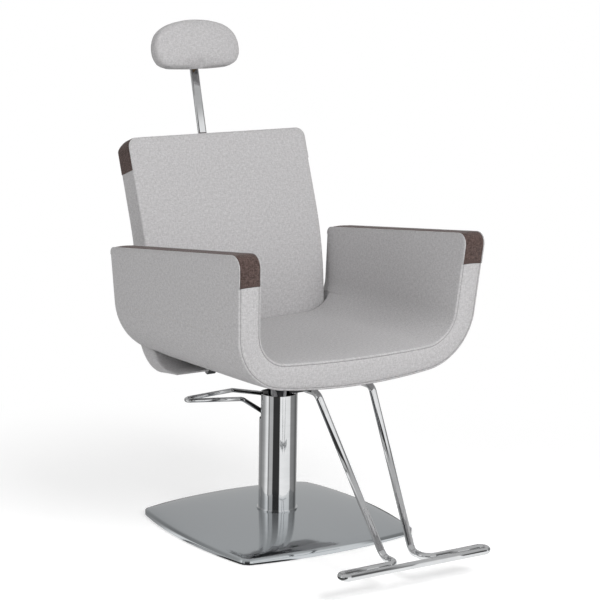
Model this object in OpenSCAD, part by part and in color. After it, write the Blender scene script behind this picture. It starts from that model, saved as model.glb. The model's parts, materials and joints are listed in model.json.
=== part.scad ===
// Threading chair on a pumped column: a U shaped upholstered seat shell, a reclining
// J shaped backrest that curls under the seat, a sliding headrest and a rod footrest.
// Millimetres, +Z up. The sitter faces -Y, the column axis is x = y = 0, the floor z = 0.
// The seat is drawn at its lowest, the backrest upright, the headrest fully down.

/* [Base] */
// Half the side of the square that the corners of the base lie on, mm
base_half = 225; // [205:5:245]
// How far each side of the base bows outward at its middle, mm
base_bow = 25; // [15:1:32]
// Height of the rim of the base, mm
rim_h = 12.6; // [11:0.2:15]
// Rise of the dome above the rim, mm
dome_rise = 28.5; // [24:0.5:32]

/* [Column] */
// Outer radius of the column cover, mm
cover_r = 43.6; // [43:0.2:47]
// Height of the top of the column cover, mm
cover_top = 312; // [306:1:316]
// Radius of the lifting piston, mm
piston_r = 17.5; // [15:0.5:18]
// Lift of the seat, mm
lift_travel = 130; // [80:5:140]

/* [Pump lever] */
// Radius of the lever rod, mm
lever_rod_r = 5; // [4:0.5:5.5]
// Reach of the lever tip from the column axis, mm
lever_reach = 210; // [190:5:240]

/* [Seat shell] */
// Half width over the arms at their front top, mm
arm_out = 319.6; // [310:1:330]
// Thickness of the arms at their top, mm
arm_wall = 55.3; // [50:0.5:58]
// Outward flare of the arms, degrees
arm_flare = 3.7; // [3.4:0.1:4.4]
// Height of the underside of the shell at the front, mm
shell_z = 391.5; // [390:0.5:394]
// Height of the sitting surface at the front, mm
sit_z = 457; // [452:1:462]
// Height of the front top of the arms, mm
arm_z = 708; // [690:2:720]
// Rise of the arm tops toward the front, degrees
arm_rise = 6.9; // [5:0.1:8]
// Depth of the coloured pads let into the arm tops, mm
arm_pad_t = 8; // [6:1:10]

/* [Backrest] */
// How much narrower the backrest is than the top of the seat, on each side, mm
back_gap = 22.3; // [22:0.5:30]
// Thickness of the backrest, mm
back_t = 60; // [56:1:62]
// Lean of the upper backrest, degrees
back_lean = 20; // [18:0.5:22]
// Length of the straight upper part of the backrest, mm
back_straight = 178; // [160:1:200]

/* [Headrest] */
// Width of the headrest cushion, mm
head_w = 238; // [210:2:260]
// Height of the headrest cushion, mm
head_h = 121; // [110:1:130]
// Thickness of the headrest cushion, mm
head_t = 60; // [54:1:64]
// How far the headrest rises from where it is drawn, mm
head_up = 40; // [20:5:60]

/* [Footrest] */
// Radius of the footrest rod, mm
foot_rod_r = 8; // [7:0.5:8.5]
// Half the length of the footrest loop between the rod centres, mm
foot_half = 186; // [160:2:200]
// Height of the footrest loop, mm
foot_z = 60; // [56:1:66]

/* [Fits] */
// Radial clearance of a turning or sliding fit, mm
run_fit = 0.05; // [0.02:0.01:0.08]
// Radial clearance of a screw in its hole, mm
screw_fit = 0.25; // [0.2:0.05:0.3]

/* [Hidden] */
// Overrun of every cut past the face it leaves, and facets of round parts
over = 2;
$fn = 96;
far = 700;
half_turn = 180;
quarter_turn = 90;

// Base pieces
corner_trim = 5.2;
corner_reach = base_half * sqrt(2) - corner_trim;
rim_z = 1.2;
skin_t = 2;
dome_hole_r = 40;
dome_rings = 7;
eighth_steps = 12;
rest_gap = 0.2;
ballast_in = 7;
ballast_half = base_half - ballast_in;
ballast_z = 1.5;
ballast_t = rim_h - skin_t - rest_gap - ballast_z;
mat_in = 12;
collar_r = 47;
collar_h = 3;
cover_wall = 1.5;
collar_z = dome_z(cover_r - cover_wall, 0);

// Pump
flange_r = 62;
flange_h = 9;
flange_z = ballast_z + ballast_t;
bolt_at = 50;
bolt_r = 5;
bolt_head_r = 8.5;
bolt_head_h = 6;
pump_r = 33;
pump_top = 240;
gland_h = 14;
gland_r = 27;
gland_step = 5;
piston_hold = 60;
piston_foot = pump_top - lift_travel - piston_hold;
bore_gap = 6;
bore_floor = piston_foot - bore_gap;
seal_h = 8;
seal_depth = 2.5;
seal_z = piston_foot + seal_h;

// Swivel
shoulder_z = 334;
spindle_r = 12;
washer_r = 22;
washer_t = 3;
hub_r = 27;
hub_z = shoulder_z + washer_t + run_fit;
hub_top = 378;
pocket_r = 18;
pocket_z = 358;
cap_z = pocket_z + run_fit;
cap_r = 16;
cap_t = 4;
cap_head_r = 6.5;
cap_head_h = 6;
cap_shank_r = 4;
cap_shank_l = 16;

// Lever: its plane stands at this angle in plan, rods side by side across it
lever_turn = 146.8;
axle_s = 29.5;
axle_z = 296;
axle_r = 4;
ear_gap = 16;
ear_t = 5;
ear_s0 = 23;
ear_s1 = 35.5;
ear_top = 303;
yoke_half = 15.6;
yoke_s0 = 25;
yoke_s1 = 36;
yoke_low = 262;
yoke_high = 312;
rod_w = 10;
lever_bend_r = 20;
u_share = 0.98;
lever_low_end = [31, 266];
lever_low_bend = [82, 298];
lever_high_end = [31, 306.5];
lever_high_bend = [106, 313.3];
lever_tip_z = 292;
slot_half = 18;
slot_z = 252;

// Shell outline seen from the front
shell_tilt = 1.3;
shell_y = -310;
out_slope = 7.6;
out_crown_r = 1400;
arm_in = arm_out - arm_wall;
out_corner_r = 134;
in_slope = 3.4;
in_crown_r = 3000;
in_corner_r = 75;
arm_reach = 760;
shell_half_y = 420;

// Shell outline seen from the side
front_lean = 5.2;
front_foot = [-308.5, 391.5];
arm_front = [-336.5, arm_z];
rear_foot = [208, 500];
rear_lean = 2.3;
front_round = 24;
rear_round = 10;
side_floor = 340;

// Layers of the shell
lining_t = 18;
lining_seat = 30;
lining_lip = 4;
frame_skin = 6;
frame_t = 16;
frame_lip = 26;
pad_margin = 3;
pad_drop = 67;

// Backrest outline seen from the side
hug_y = 96;
hug_z = 450;
hug_r = 77;
hug_gap = 3;
bend_z = 470;
bend_r = 700;
heel_r = 97;
heel_y = hug_y + hug_r + back_t - heel_r;
heel_z = 457;
toe_y = 52;
toe_top = hug_z - hug_r;
toe_r = 3;
toe_slope = 6.8;
back_half = arm_in - back_gap;
notch_gap = 3.5;
notch_half = back_half + notch_gap;
notch_top = 520;
back_corner_r = 22;
back_rear_round = 28;
back_edge_r = 5;
band_margin = 3;
band_t = 6;
band_drop = 88;

// Frame of the backrest
arm_x = 145;
arm_w = 8;
arm_skin = 6;
arm_thick = 8;
board_t = 10;
board_in = 37;
board_half = back_half - board_in;
board_turn = 3;
board_top = 28;
arm_up = 110;
pivot_y = 60;
pivot_z = 368;
barrel_r = 8;
pin_r = 4;
toe_slot_half = 17;
toe_slot_y = 92;
lug_t = 5;
lug_gap = 0.3;
lug_y0 = 50;
lug_y1 = 72;
lug_foot_t = 5;
lug_foot_y = 20;
lug_screw_l = 24;
lug_screw_r = 2.5;
pin_head_r = 6;
pin_head_t = 2.5;

// Headrest
bar_w = 22;
bar_t = 10;
bar_round = 4.9;
bar_upright = 4.8;
bar_lean = back_lean - bar_upright;
bar_off = 10.6;
bar_up = 13.3;
guide_len = 64;
guide_at = 44;
stop_slack = 3;
bar_high = 220;
guide_wall = 4;
guide_half = 18;
guide_flange = 18;
guide_screw_in = 12;
guide_bite = 8;
guide_screw_r = 2.5;
liner_t = 1.5;
head_low = 151;
head_back = 12.5;
plate_w = 120;
plate_h = 60;
plate_t = 6;
stop_wall = 3;
stop_w = bar_w + 2 * stop_wall;
stop_t = bar_t + 2 * stop_wall;
stop_h = 8;
bar_low = guide_at + guide_len + head_up + stop_slack + stop_h;
// Half outline of the headrest from bottom to top, in shares of its half width and height
head_shares = [
  [0, 0], [0.4, 0], [0.65, 0.003], [0.79, 0.04], [0.9, 0.105], [0.965, 0.2], [0.995, 0.31],
  [1, 0.42], [0.985, 0.53], [0.945, 0.64], [0.875, 0.745], [0.77, 0.835], [0.63, 0.905],
  [0.45, 0.955], [0.23, 0.99], [0, 1]
];
// Size of the outline and place in the thickness of each ring from the front to the rear
head_ring_shares = [
  [0.3, 0], [0.55, 0.02], [0.76, 0.06], [0.88, 0.115], [0.95, 0.19], [0.985, 0.28],
  [0.975, 0.34], [0.99, 0.42], [1, 0.5], [0.99, 0.58], [0.975, 0.66], [0.985, 0.72],
  [0.95, 0.81], [0.88, 0.885], [0.76, 0.94], [0.55, 0.98], [0.3, 1]
];
head_mid_share = 0.47;

// Footrest
foot_pitch = 24;
foot_y = -526;
leg_low = [37, -475];
leg_high = [71.4, -264];
rod_run_z = 375.6;
rod_end_y = -34;
foot_bend_r = 24;
leg_bend_r = 26;
clamp_y0 = -196;
clamp_y1 = -66;
clamp_len = 16;
clamp_half = 22;
clamp_low = 365;
clamp_screw_r = 2.5;
clamp_screw_at = 15;
clamp_screw_l = 39;

// Seat plate
plate_half = 46;
plate_front = -190;
plate_rear = 44;
seat_depth = 30;
seat_screw_x = 32;
seat_screw_front = -165;
seat_screw_rear = 30;
seat_screw_r = 3;
seat_screw_head_r = 5.5;
seat_screw_head_h = 4;
seat_screw_up = 26;

// A line through a point at an angle, and where two lines meet
function ray(a) = [cos(a), sin(a)];
function turn2(a, b) = a[0] * b[1] - a[1] * b[0];
function meet(p, a, q, b) = p + ray(a) * turn2(q - p, ray(b)) / turn2(ray(a), ray(b));
function unit(v) = v / norm(v);

// Convex outline with one radius for each corner
wide_r = 400;
wide_step = 2;
arc_step = 6;
function turn_half(p, a, b) = acos(unit(a - p) * unit(b - p)) / 2;
function corner_arc(p, a, b, r) =
  r <= 0 ? [p]
  : let (half = turn_half(p, a, b))
    let (c = p + unit(unit(a - p) + unit(b - p)) * r / sin(half))
    let (from = p + unit(a - p) * r / tan(half) - c, turn = half_turn - 2 * half)
    let (n = ceil(turn / (r > wide_r ? wide_step : arc_step)))
    [for (i = [0 : n])
      let (t = turn * i / n)
      c + [from[0] * cos(t) - from[1] * sin(t), from[0] * sin(t) + from[1] * cos(t)]];
function round_points(pts, rads) =
  let (n = len(pts))
  [for (i = [0 : n - 1])
    each corner_arc(pts[i], pts[(i + n - 1) % n], pts[(i + 1) % n], rads[i])];
module rounded(pts, rads) {
  polygon(round_points(pts, rads));
}
// Points of an arc about c from one angle to another
function arc_points(c, r, from, to) =
  let (n = ceil(abs(to - from) / (r > wide_r ? wide_step / 2 : arc_step)))
  [for (i = [0 : n]) c + r * ray(from + (to - from) * i / n)];
function reversed(v) = [for (i = [len(v) - 1 : -1 : 0]) v[i]];

// Draws an outline of y and z and extrudes it along X from x0 to x1
module along_x(x0, x1) {
  translate([x0, 0, 0])
    rotate([quarter_turn, 0, quarter_turn])
      linear_extrude(x1 - x0)
        children();
}

// Draws an outline of x and z and extrudes it along Y from y0 to y1
module along_y(y0, y1) {
  translate([0, y1, 0])
    rotate([quarter_turn, 0, 0])
      linear_extrude(y1 - y0)
        children();
}

// A round bar from point a to point b
module bar(a, b, r) {
  d = b - a;
  translate(a)
    rotate([0, acos(d[2] / norm(d)), atan2(d[1], d[0])])
      cylinder(r = r, h = norm(d));
}

// One bend of a rod: the rod comes from a, turns at p on radius r and leaves to b
module bend(a, p, b, r, rod_r) {
  u = unit(p - a);
  v = unit(b - p);
  turn = acos(u * v);
  n = unit(cross(u, v));
  w = cross(n, u);
  c = p - u * r * tan(turn / 2) + w * r;
  multmatrix([
    [-w[0], u[0], n[0], c[0]],
    [-w[1], u[1], n[1], c[1]],
    [-w[2], u[2], n[2], c[2]],
    [0, 0, 0, 1]
  ])
    rotate_extrude(angle = turn)
      translate([r, 0])
        circle(r = rod_r + bend_swell);
}

// A rod along a path of points with one bend radius at each inner point. The bars reach
// a little way into the bends, which are a hair thicker.
bend_swell = 0.05;
bend_lap = 0.5;
module rod(path, radii, rod_r) {
  n = len(path);
  trim = [
    for (i = [0 : n - 1])
      i == 0 || i == n - 1 ? 0
      : radii[i] * tan(acos(unit(path[i] - path[i - 1]) * unit(path[i + 1] - path[i])) / 2)
        - bend_lap
  ];
  for (i = [0 : n - 2]) {
    u = unit(path[i + 1] - path[i]);
    bar(path[i] + u * trim[i], path[i + 1] - u * trim[i + 1], rod_r);
  }
  for (i = [1 : n - 2])
    bend(path[i - 1], path[i], path[i + 1], radii[i], rod_r);
}

// Copies a piece to the other side of the middle plane
module both_sides() {
  children();
  mirror([1, 0, 0])
    children();
}

// Base: reach of the bowed and rounded outline at an angle, and height of the dome
function bowed(c, s) =
  2 * (base_half + base_bow)
  / (c + sqrt(c * c + 4 * base_bow * (base_half + base_bow) * pow(s / base_half, 2)));
function base_reach(a) =
  let (c = max(abs(cos(a)), abs(sin(a))), s = min(abs(cos(a)), abs(sin(a))))
  min(bowed(c, s), corner_reach);
function fade(a, b) =
  max(0, 1 - pow(a / (base_half + base_bow * max(0, 1 - pow(b / base_half, 2))), 2));
function dome_z(x, y) = rim_h + dome_rise * sqrt(fade(x, y) * fade(y, x));

// The cover of the base is a pressed skin: rings over the dome, round the rim and back
base_turns = [
  for (q = [0 : 7], i = [0 : eighth_steps - 1])
    let (t = q % 2 == 0 ? i / eighth_steps : 1 - i / eighth_steps)
    q * quarter_turn / 2 + (q % 2 == 0 ? 1 - pow(1 - t, 2) : pow(1 - t, 2)) * quarter_turn / 2
];
function skin_ring(share, inset, drop) = [
  for (a = base_turns)
    let (r = dome_hole_r + (base_reach(a) - inset - dome_hole_r) * share)
    let (x = r * cos(a), y = r * sin(a))
    [x, y, (share == 1 ? rim_h : dome_z(x, y)) - drop]
];
function ring_share(k) = sin(quarter_turn * k / dome_rings);
function edge_ring(inset) = [
  for (a = base_turns)
    [(base_reach(a) - inset) * cos(a), (base_reach(a) - inset) * sin(a), rim_z]
];
module base_cover() {
  n = len(base_turns);
  rings = concat(
    [for (k = [0 : dome_rings]) skin_ring(ring_share(k), 0, 0)],
    [edge_ring(0)],
    [edge_ring(skin_t)],
    [for (k = [0 : dome_rings]) skin_ring(ring_share(dome_rings - k), skin_t, skin_t)]
  );
  m = len(rings);
  color("silver")
    polyhedron(
      points = [for (r = rings) each r],
      faces = [
        for (k = [0 : m - 1], i = [0 : n - 1])
          let (a = k * n + i, b = k * n + (i + 1) % n)
          let (c = (k + 1) % m * n + i, d = (k + 1) % m * n + (i + 1) % n)
          each [[a, b, c], [b, d, c]]
      ]
    );
}
module ballast_plate() {
  color("dimgray")
    difference() {
      translate([-ballast_half, -ballast_half, ballast_z])
        cube([2 * ballast_half, 2 * ballast_half, ballast_t]);
      for (a = [0 : 3])
        rotate([0, 0, a * quarter_turn])
          translate([bolt_at, 0, 0])
            cylinder(r = bolt_r, h = far);
    }
}
module floor_mat() {
  half = ballast_half - mat_in;
  color("black")
    translate([-half, -half, 0])
      cube([2 * half, 2 * half, ballast_z]);
}
module foot_collar() {
  color("silver")
    translate([0, 0, collar_z])
      difference() {
        cylinder(r = collar_r, h = collar_h);
        translate([0, 0, -over])
          cylinder(r = cover_r + run_fit, h = collar_h + 2 * over);
      }
}
module column_cover() {
  color("silver")
    difference() {
      translate([0, 0, collar_z])
        cylinder(r = cover_r, h = cover_top - collar_z);
      translate([0, 0, collar_z - over])
        cylinder(r = cover_r - cover_wall, h = far);
      rotate([0, 0, lever_turn])
        translate([0, -slot_half, slot_z])
          cube([far, 2 * slot_half, far]);
    }
}

// Pump
module pump_body() {
  color("dimgray")
    difference() {
      union() {
        translate([0, 0, flange_z])
          cylinder(r = flange_r, h = flange_h);
        translate([0, 0, flange_z])
          cylinder(r = pump_r, h = pump_top - flange_z);
        rotate([0, 0, lever_turn])
          for (s = [-1, 1])
            translate([ear_s0, s > 0 ? ear_gap : -ear_gap - ear_t, pump_top - ear_t])
              cube([ear_s1 - ear_s0, ear_t, ear_top - pump_top + ear_t]);
        rotate([0, 0, lever_turn])
          translate([ear_s0, -ear_gap - ear_t, pump_top - 2 * ear_t])
            cube([ear_s1 - ear_s0, 2 * ear_gap + 2 * ear_t, 2 * ear_t]);
      }
      translate([0, 0, bore_floor])
        cylinder(r = piston_r + run_fit, h = far);
      translate([0, 0, pump_top - gland_h + gland_step])
        cylinder(r = gland_r - gland_step, h = far);
      for (a = [0 : 3])
        rotate([0, 0, a * quarter_turn])
          translate([bolt_at, 0, 0])
            cylinder(r = bolt_r, h = far / 2);
      lever_line()
        cylinder(r = axle_r, h = far, center = true);
    }
}
module flange_bolts() {
  color("gray")
    for (a = [0 : 3])
      rotate([0, 0, a * quarter_turn])
        translate([bolt_at, 0, ballast_z]) {
          cylinder(r = bolt_r, h = ballast_t + flange_h);
          translate([0, 0, ballast_t + flange_h])
            cylinder(r = bolt_head_r, h = bolt_head_h, $fn = 6);
        }
}
module gland_ring() {
  color("darkgoldenrod")
    translate([0, 0, pump_top - gland_h + gland_step])
      difference() {
        union() {
          cylinder(r = gland_r - gland_step, h = gland_h);
          translate([0, 0, gland_h - gland_step])
            cylinder(r = gland_r - gland_step / 2, h = gland_step);
        }
        translate([0, 0, -over])
          cylinder(r = piston_r + run_fit, h = gland_h + 2 * over);
      }
}

// Lever: placed on its axle, rods in the plane that stands at lever_turn
module lever_line() {
  rotate([0, 0, lever_turn])
    translate([axle_s, 0, axle_z])
      rotate([quarter_turn, 0, 0])
        children();
}
module lever_axle() {
  color("silver")
    lever_line()
      cylinder(r = axle_r, h = 2 * ear_gap + 2 * ear_t, center = true);
}
module lever_yoke() {
  color("dimgray")
    difference() {
      rotate([0, 0, lever_turn])
        translate([yoke_s0, -yoke_half, yoke_low])
          cube([yoke_s1 - yoke_s0, 2 * yoke_half, yoke_high - yoke_low]);
      lever_line()
        cylinder(r = axle_r + run_fit, h = far, center = true);
      rotate([0, 0, lever_turn])
        lever_path();
    }
}
module lever_path() {
  rod([
    [lever_low_end[0], rod_w, lever_low_end[1]],
    [lever_low_bend[0], rod_w, lever_low_bend[1]],
    [lever_reach, rod_w, lever_tip_z],
    [lever_reach, -rod_w, lever_tip_z],
    [lever_high_bend[0], -rod_w, lever_high_bend[1]],
    [lever_high_end[0], -rod_w, lever_high_end[1]]
  ], [0, lever_bend_r, rod_w * u_share, rod_w * u_share, lever_bend_r, 0], lever_rod_r);
}
module pump_lever() {
  color("silver")
    rotate([0, 0, lever_turn])
      lever_path();
}

// Lift and swivel
module piston() {
  color("silver")
    difference() {
      union() {
        translate([0, 0, piston_foot])
          cylinder(r = piston_r, h = shoulder_z - piston_foot);
        translate([0, 0, shoulder_z])
          cylinder(r = spindle_r, h = cap_z - shoulder_z);
      }
      translate([0, 0, seal_z])
        difference() {
          cylinder(r = piston_r + over, h = seal_h);
          translate([0, 0, -over])
            cylinder(r = piston_r - seal_depth, h = seal_h + 2 * over);
        }
      translate([0, 0, cap_z + cap_t - cap_shank_l])
        cylinder(r = cap_shank_r, h = far);
    }
}
module piston_seal() {
  color("white")
    translate([0, 0, seal_z])
      difference() {
        cylinder(r = piston_r, h = seal_h);
        translate([0, 0, -over])
          cylinder(r = piston_r - seal_depth, h = seal_h + 2 * over);
      }
}
module thrust_washer() {
  color("darkgoldenrod")
    translate([0, 0, shoulder_z])
      difference() {
        cylinder(r = washer_r, h = washer_t);
        translate([0, 0, -over])
          cylinder(r = spindle_r, h = washer_t + 2 * over);
      }
}
module spindle_screw() {
  color("gray")
    translate([0, 0, cap_z]) {
      cylinder(r = cap_r, h = cap_t);
      translate([0, 0, cap_t])
        cylinder(r = cap_head_r, h = cap_head_h, $fn = 6);
      translate([0, 0, cap_t - cap_shank_l])
        cylinder(r = cap_shank_r, h = cap_shank_l);
    }
}
module seat_hub() {
  color("dimgray")
    difference() {
      translate([0, 0, hub_z])
        cylinder(r = hub_r, h = hub_top - hub_z);
      cylinder(r = spindle_r + run_fit, h = far);
      translate([0, 0, pocket_z])
        cylinder(r = pocket_r, h = far);
    }
}

// Turns a piece down toward the rear with the shell
module tilted() {
  translate([0, shell_y, shell_z])
    rotate([-shell_tilt, 0, 0])
      translate([0, -shell_y, -shell_z])
        children();
}
module under_shell() {
  difference() {
    translate([-far, -far, 0])
      cube([2 * far, 2 * far, shell_z + seat_depth]);
    swept()
      outer_cup(-rest_gap);
  }
}
module seat_plate() {
  color("dimgray")
    difference() {
      intersection() {
        translate([-plate_half, plate_front, hub_top])
          cube([2 * plate_half, plate_rear - plate_front, far]);
        under_shell();
      }
      seat_screw_places()
        translate([0, 0, -far / 2])
          cylinder(r = seat_screw_r + screw_fit, h = far);
    }
}
module seat_screw_places() {
  for (x = [-seat_screw_x, seat_screw_x], y = [seat_screw_front, seat_screw_rear])
    translate([x, y, hub_top])
      children();
}
module seat_screws() {
  color("gray")
    seat_screw_places() {
      translate([0, 0, -seat_screw_head_h])
        cylinder(r = seat_screw_head_r, h = seat_screw_head_h, $fn = 6);
      cylinder(r = seat_screw_r, h = seat_screw_up);
    }
}

// Seat shell outlines seen from the front; d moves the outline inward. The crown of the
// bottom is limited to the width that its corners leave it.
function side_point(w, d) = [w - d * cos(arm_flare), arm_z + d * sin(arm_flare)];
function low_point(z, slope, r, d) = [0, z + d / cos(slope) - r * (1 / cos(slope) - 1)];
function edge_point(low, slope, side) = meet(low, slope, side, quarter_turn - arm_flare);
function crown_limit(w, z, slope, crown_r, corner_r) =
  let (low = low_point(z, slope, crown_r, 0), side = side_point(w, 0))
  let (edge = edge_point(low, slope, side))
  let (room = norm(edge - low) - corner_r / tan(turn_half(edge, low, side)))
  min(crown_r, room * u_share / tan(slope));
module cup(w, z, slope, crown_r, corner_r, d) {
  r = crown_limit(w, z, slope, crown_r, corner_r);
  low = low_point(z, slope, r, d);
  side = side_point(w, d);
  edge = edge_point(low, slope, side);
  top = meet([0, arm_reach], 0, side, quarter_turn - arm_flare);
  rounded(
    [low, edge, top, [-top[0], top[1]], [-edge[0], edge[1]]],
    [r - d, corner_r - d, 0, 0, corner_r - d]
  );
}
module outer_cup(d) {
  cup(arm_out, shell_z, out_slope, out_crown_r, out_corner_r, d);
}
module inner_cup(d, low = 0) {
  cup(arm_in, sit_z + low, in_slope, in_crown_r, in_corner_r, d);
}
module swept() {
  tilted()
    along_y(-shell_half_y, shell_half_y)
      children();
}

// Side outline of the shell; the insets move the front, top and rear lines inward
module side_outline(front, top, rear) {
  fa = quarter_turn + front_lean;
  ra = quarter_turn - rear_lean;
  f = front_foot + [front / cos(front_lean), 0];
  t = arm_front - [0, top / cos(arm_rise)];
  r = rear_foot - [rear / cos(rear_lean), 0];
  a = meet(f, fa, [0, side_floor], 0);
  b = meet(r, ra, [0, side_floor], 0);
  c = meet(r, ra, t, -arm_rise);
  e = meet(f, fa, t, -arm_rise);
  rounded([a, b, c, e], [0, 0, rear < 0 ? 0 : rear_round - rear, front_round - max(front, top)]);
}
module side_body(front, top, rear) {
  along_x(-far, far)
    side_outline(front, top, rear);
}

// The space behind and below the seat that the backrest swings in
module back_notch(gap) {
  difference() {
    translate([-notch_half - gap, hug_y, side_floor - over])
      cube([2 * (notch_half + gap), far, notch_top - side_floor + over]);
    along_x(-far, far) {
      translate([hug_y, hug_z])
        circle(r = hug_r - hug_gap - gap);
      translate([hug_y - over, hug_z])
        square([hug_r - hug_gap - gap + over, notch_top - hug_z + over]);
    }
  }
}

// Shell pieces
module shell_core() {
  difference() {
    intersection() {
      swept()
        difference() {
          outer_cup(frame_skin);
          outer_cup(frame_skin + frame_t);
        }
      side_body(frame_lip, frame_lip, frame_lip);
    }
    back_notch(frame_skin);
  }
}
module lining_body() {
  difference() {
    intersection() {
      swept()
        difference() {
          inner_cup(-lining_t, lining_t - lining_seat);
          inner_cup(0);
        }
      side_body(lining_lip, lining_lip, lining_lip);
    }
    back_notch(0);
    pad_body();
  }
}
module pad_body() {
  difference() {
    intersection() {
      swept()
        difference() {
          outer_cup(pad_margin);
          inner_cup(-pad_margin);
        }
      side_body(0, 0, 0);
      union() {
        translate([-far, -far, arm_z - pad_drop])
          cube([2 * far, far, far]);
        translate([-far, shell_y, arm_z - 2 * pad_drop])
          cube([2 * far, far + far, far]);
      }
    }
    side_body(arm_pad_t, arm_pad_t, -far / 2);
  }
}
module shell_frame() {
  color("burlywood")
    difference() {
      shell_core();
      seat_screw_places()
        cylinder(r = seat_screw_r, h = seat_screw_up + over);
      under_screws(0);
    }
}
module shell_cover() {
  color("lightgray")
    difference() {
      intersection() {
        swept()
          difference() {
            outer_cup(0);
            inner_cup(0);
          }
        side_body(0, 0, 0);
      }
      back_notch(0);
      shell_core();
      lining_body();
      pad_body();
      seat_screw_places()
        cylinder(r = seat_screw_r, h = seat_screw_up + over);
      under_screws(0);
    }
}
module seat_lining() {
  color("darkgray")
    lining_body();
}
module arm_pad_left() {
  color("saddlebrown")
    intersection() {
      pad_body();
      translate([0, -far, 0])
        cube([far, 2 * far, 2 * far]);
    }
}
module arm_pad_right() {
  color("saddlebrown")
    intersection() {
      pad_body();
      translate([-far, -far, 0])
        cube([far, 2 * far, 2 * far]);
    }
}

// Footrest
foot_rear_y = foot_y;
foot_front_y = foot_y - foot_pitch;
foot_path = [
  [leg_high[0], rod_end_y, rod_run_z],
  [leg_high[0], leg_high[1], rod_run_z],
  [leg_low[0], leg_low[1], foot_z],
  [leg_low[0], foot_rear_y, foot_z],
  [foot_half, foot_rear_y, foot_z],
  [foot_half, foot_front_y, foot_z],
  [0, foot_front_y, foot_z]
];
foot_radii = [
  0, leg_bend_r, leg_bend_r, foot_bend_r,
  foot_pitch * u_share / 2, foot_pitch * u_share / 2, 0
];
module footrest() {
  color("silver")
    both_sides()
      rod(foot_path, foot_radii, foot_rod_r);
}
module clamp_places() {
  for (x = [-leg_high[0], leg_high[0]], y = [clamp_y0, clamp_y1])
    translate([x, y, 0])
      children();
}
module footrest_clamps() {
  color("dimgray")
    difference() {
      intersection() {
        clamp_places()
          translate([-clamp_half, -clamp_len / 2, clamp_low])
            cube([2 * clamp_half, clamp_len, far]);
        under_shell();
      }
      clamp_places()
        translate([0, clamp_len, rod_run_z])
          rotate([quarter_turn, 0, 0])
            cylinder(r = foot_rod_r, h = 2 * clamp_len);
      clamp_screw_places()
        cylinder(r = clamp_screw_r + screw_fit, h = far);
    }
}
module clamp_screw_places() {
  clamp_places()
    for (x = [-clamp_screw_at, clamp_screw_at])
      translate([x, 0, clamp_low])
        children();
}
module clamp_screws() {
  color("gray")
    clamp_screw_places()
      short_screw(clamp_screw_r);
}
module short_screw(r) {
  translate([0, 0, -r])
    cylinder(r = 2 * r, h = r);
  cylinder(r = r, h = clamp_screw_l);
}

// Hinge of the backrest under the seat
module lug_screw_places() {
  for (x = [-arm_x, arm_x], y = [lug_y0 - lug_foot_y / 2])
    translate([x, y, lug_plate_z()])
      children();
}
function lug_plate_z() =
  shell_z - (lug_y1 - shell_y) * tan(shell_tilt) + pow(arm_x, 2) / (2 * out_crown_r) - lug_foot_t - rest_gap;
module under_screws(grow) {
  clamp_screw_places()
    cylinder(r = clamp_screw_r + grow, h = clamp_screw_l + over);
  lug_screw_places()
    cylinder(r = lug_screw_r + grow, h = lug_screw_l + over);
}
module hinge_lugs() {
  color("dimgray")
    difference() {
      intersection() {
        union() {
          for (c = [-arm_x, arm_x], s = [-1, 1])
            translate([c + s * (arm_w / 2 + lug_gap + lug_t / 2) - lug_t / 2, lug_y0, pivot_z])
              cube([lug_t, lug_y1 - lug_y0, far]);
          for (c = [-arm_x, arm_x], s = [-1, 1])
            translate([c + s * (arm_w / 2 + lug_gap + lug_t / 2) - lug_t / 2, pivot_y, pivot_z])
              rotate([0, quarter_turn, 0])
                cylinder(r = barrel_r, h = lug_t);
          for (c = [-arm_x, arm_x])
            translate([c - arm_w / 2 - lug_gap - lug_t, lug_y0 - lug_foot_y, lug_plate_z()])
              cube([arm_w + 2 * lug_gap + 2 * lug_t, lug_y1 - lug_y0 + lug_foot_y, far]);
        }
        under_shell();
      }
      translate([-far, pivot_y, pivot_z])
        rotate([0, quarter_turn, 0])
          cylinder(r = pin_r, h = 2 * far);
      lug_screw_places()
        translate([0, 0, -over])
          cylinder(r = lug_screw_r + screw_fit, h = far);
    }
}
module lug_screws() {
  color("gray")
    lug_screw_places()
      short_lug_screw();
}
module short_lug_screw() {
  translate([0, 0, -lug_screw_r])
    cylinder(r = 2 * lug_screw_r, h = lug_screw_r);
  cylinder(r = lug_screw_r, h = lug_screw_l);
}
module hinge_pins() {
  color("silver")
    for (c = [-arm_x, arm_x])
      translate([c - arm_w / 2 - lug_gap - lug_t, pivot_y, pivot_z])
        rotate([0, quarter_turn, 0]) {
          cylinder(r = pin_r, h = arm_w + 2 * lug_gap + 2 * lug_t);
          translate([0, 0, -pin_head_t])
            cylinder(r = pin_head_r, h = pin_head_t);
          translate([0, 0, arm_w + 2 * lug_gap + 2 * lug_t])
            cylinder(r = pin_head_r, h = pin_head_t);
        }
}

// Backrest outline seen from the side
bend_y = hug_y + hug_r + bend_r;
lean_at = [bend_y - bend_r * cos(back_lean), bend_z + bend_r * sin(back_lean)];
along = [sin(back_lean), cos(back_lean)];
behind = [cos(back_lean), -sin(back_lean)];
bar_at = lean_at + behind * (back_t + bar_off) + along * (back_straight + bar_up);
guide_mid = bar_at - [sin(bar_lean), cos(bar_lean)] * (guide_at + guide_len / 2);
guide_foot = (guide_mid - lean_at) * along - guide_len / 2;
guide_screw_l = guide_wall + arm_skin + arm_thick + guide_bite;
heel_low = [heel_y - heel_r * sin(toe_slope), heel_z - heel_r * cos(toe_slope)];
toe_low = heel_low + [toe_y - heel_low[0], (heel_low[0] - toe_y) * tan(toe_slope)];

// Points up the curved part and along the straight part, d behind the front face
function bow_points(d, from, up) = concat(
  arc_points([bend_y, bend_z], bend_r - d, half_turn - from, half_turn - back_lean),
  [lean_at + behind * d + along * up]
);
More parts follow.
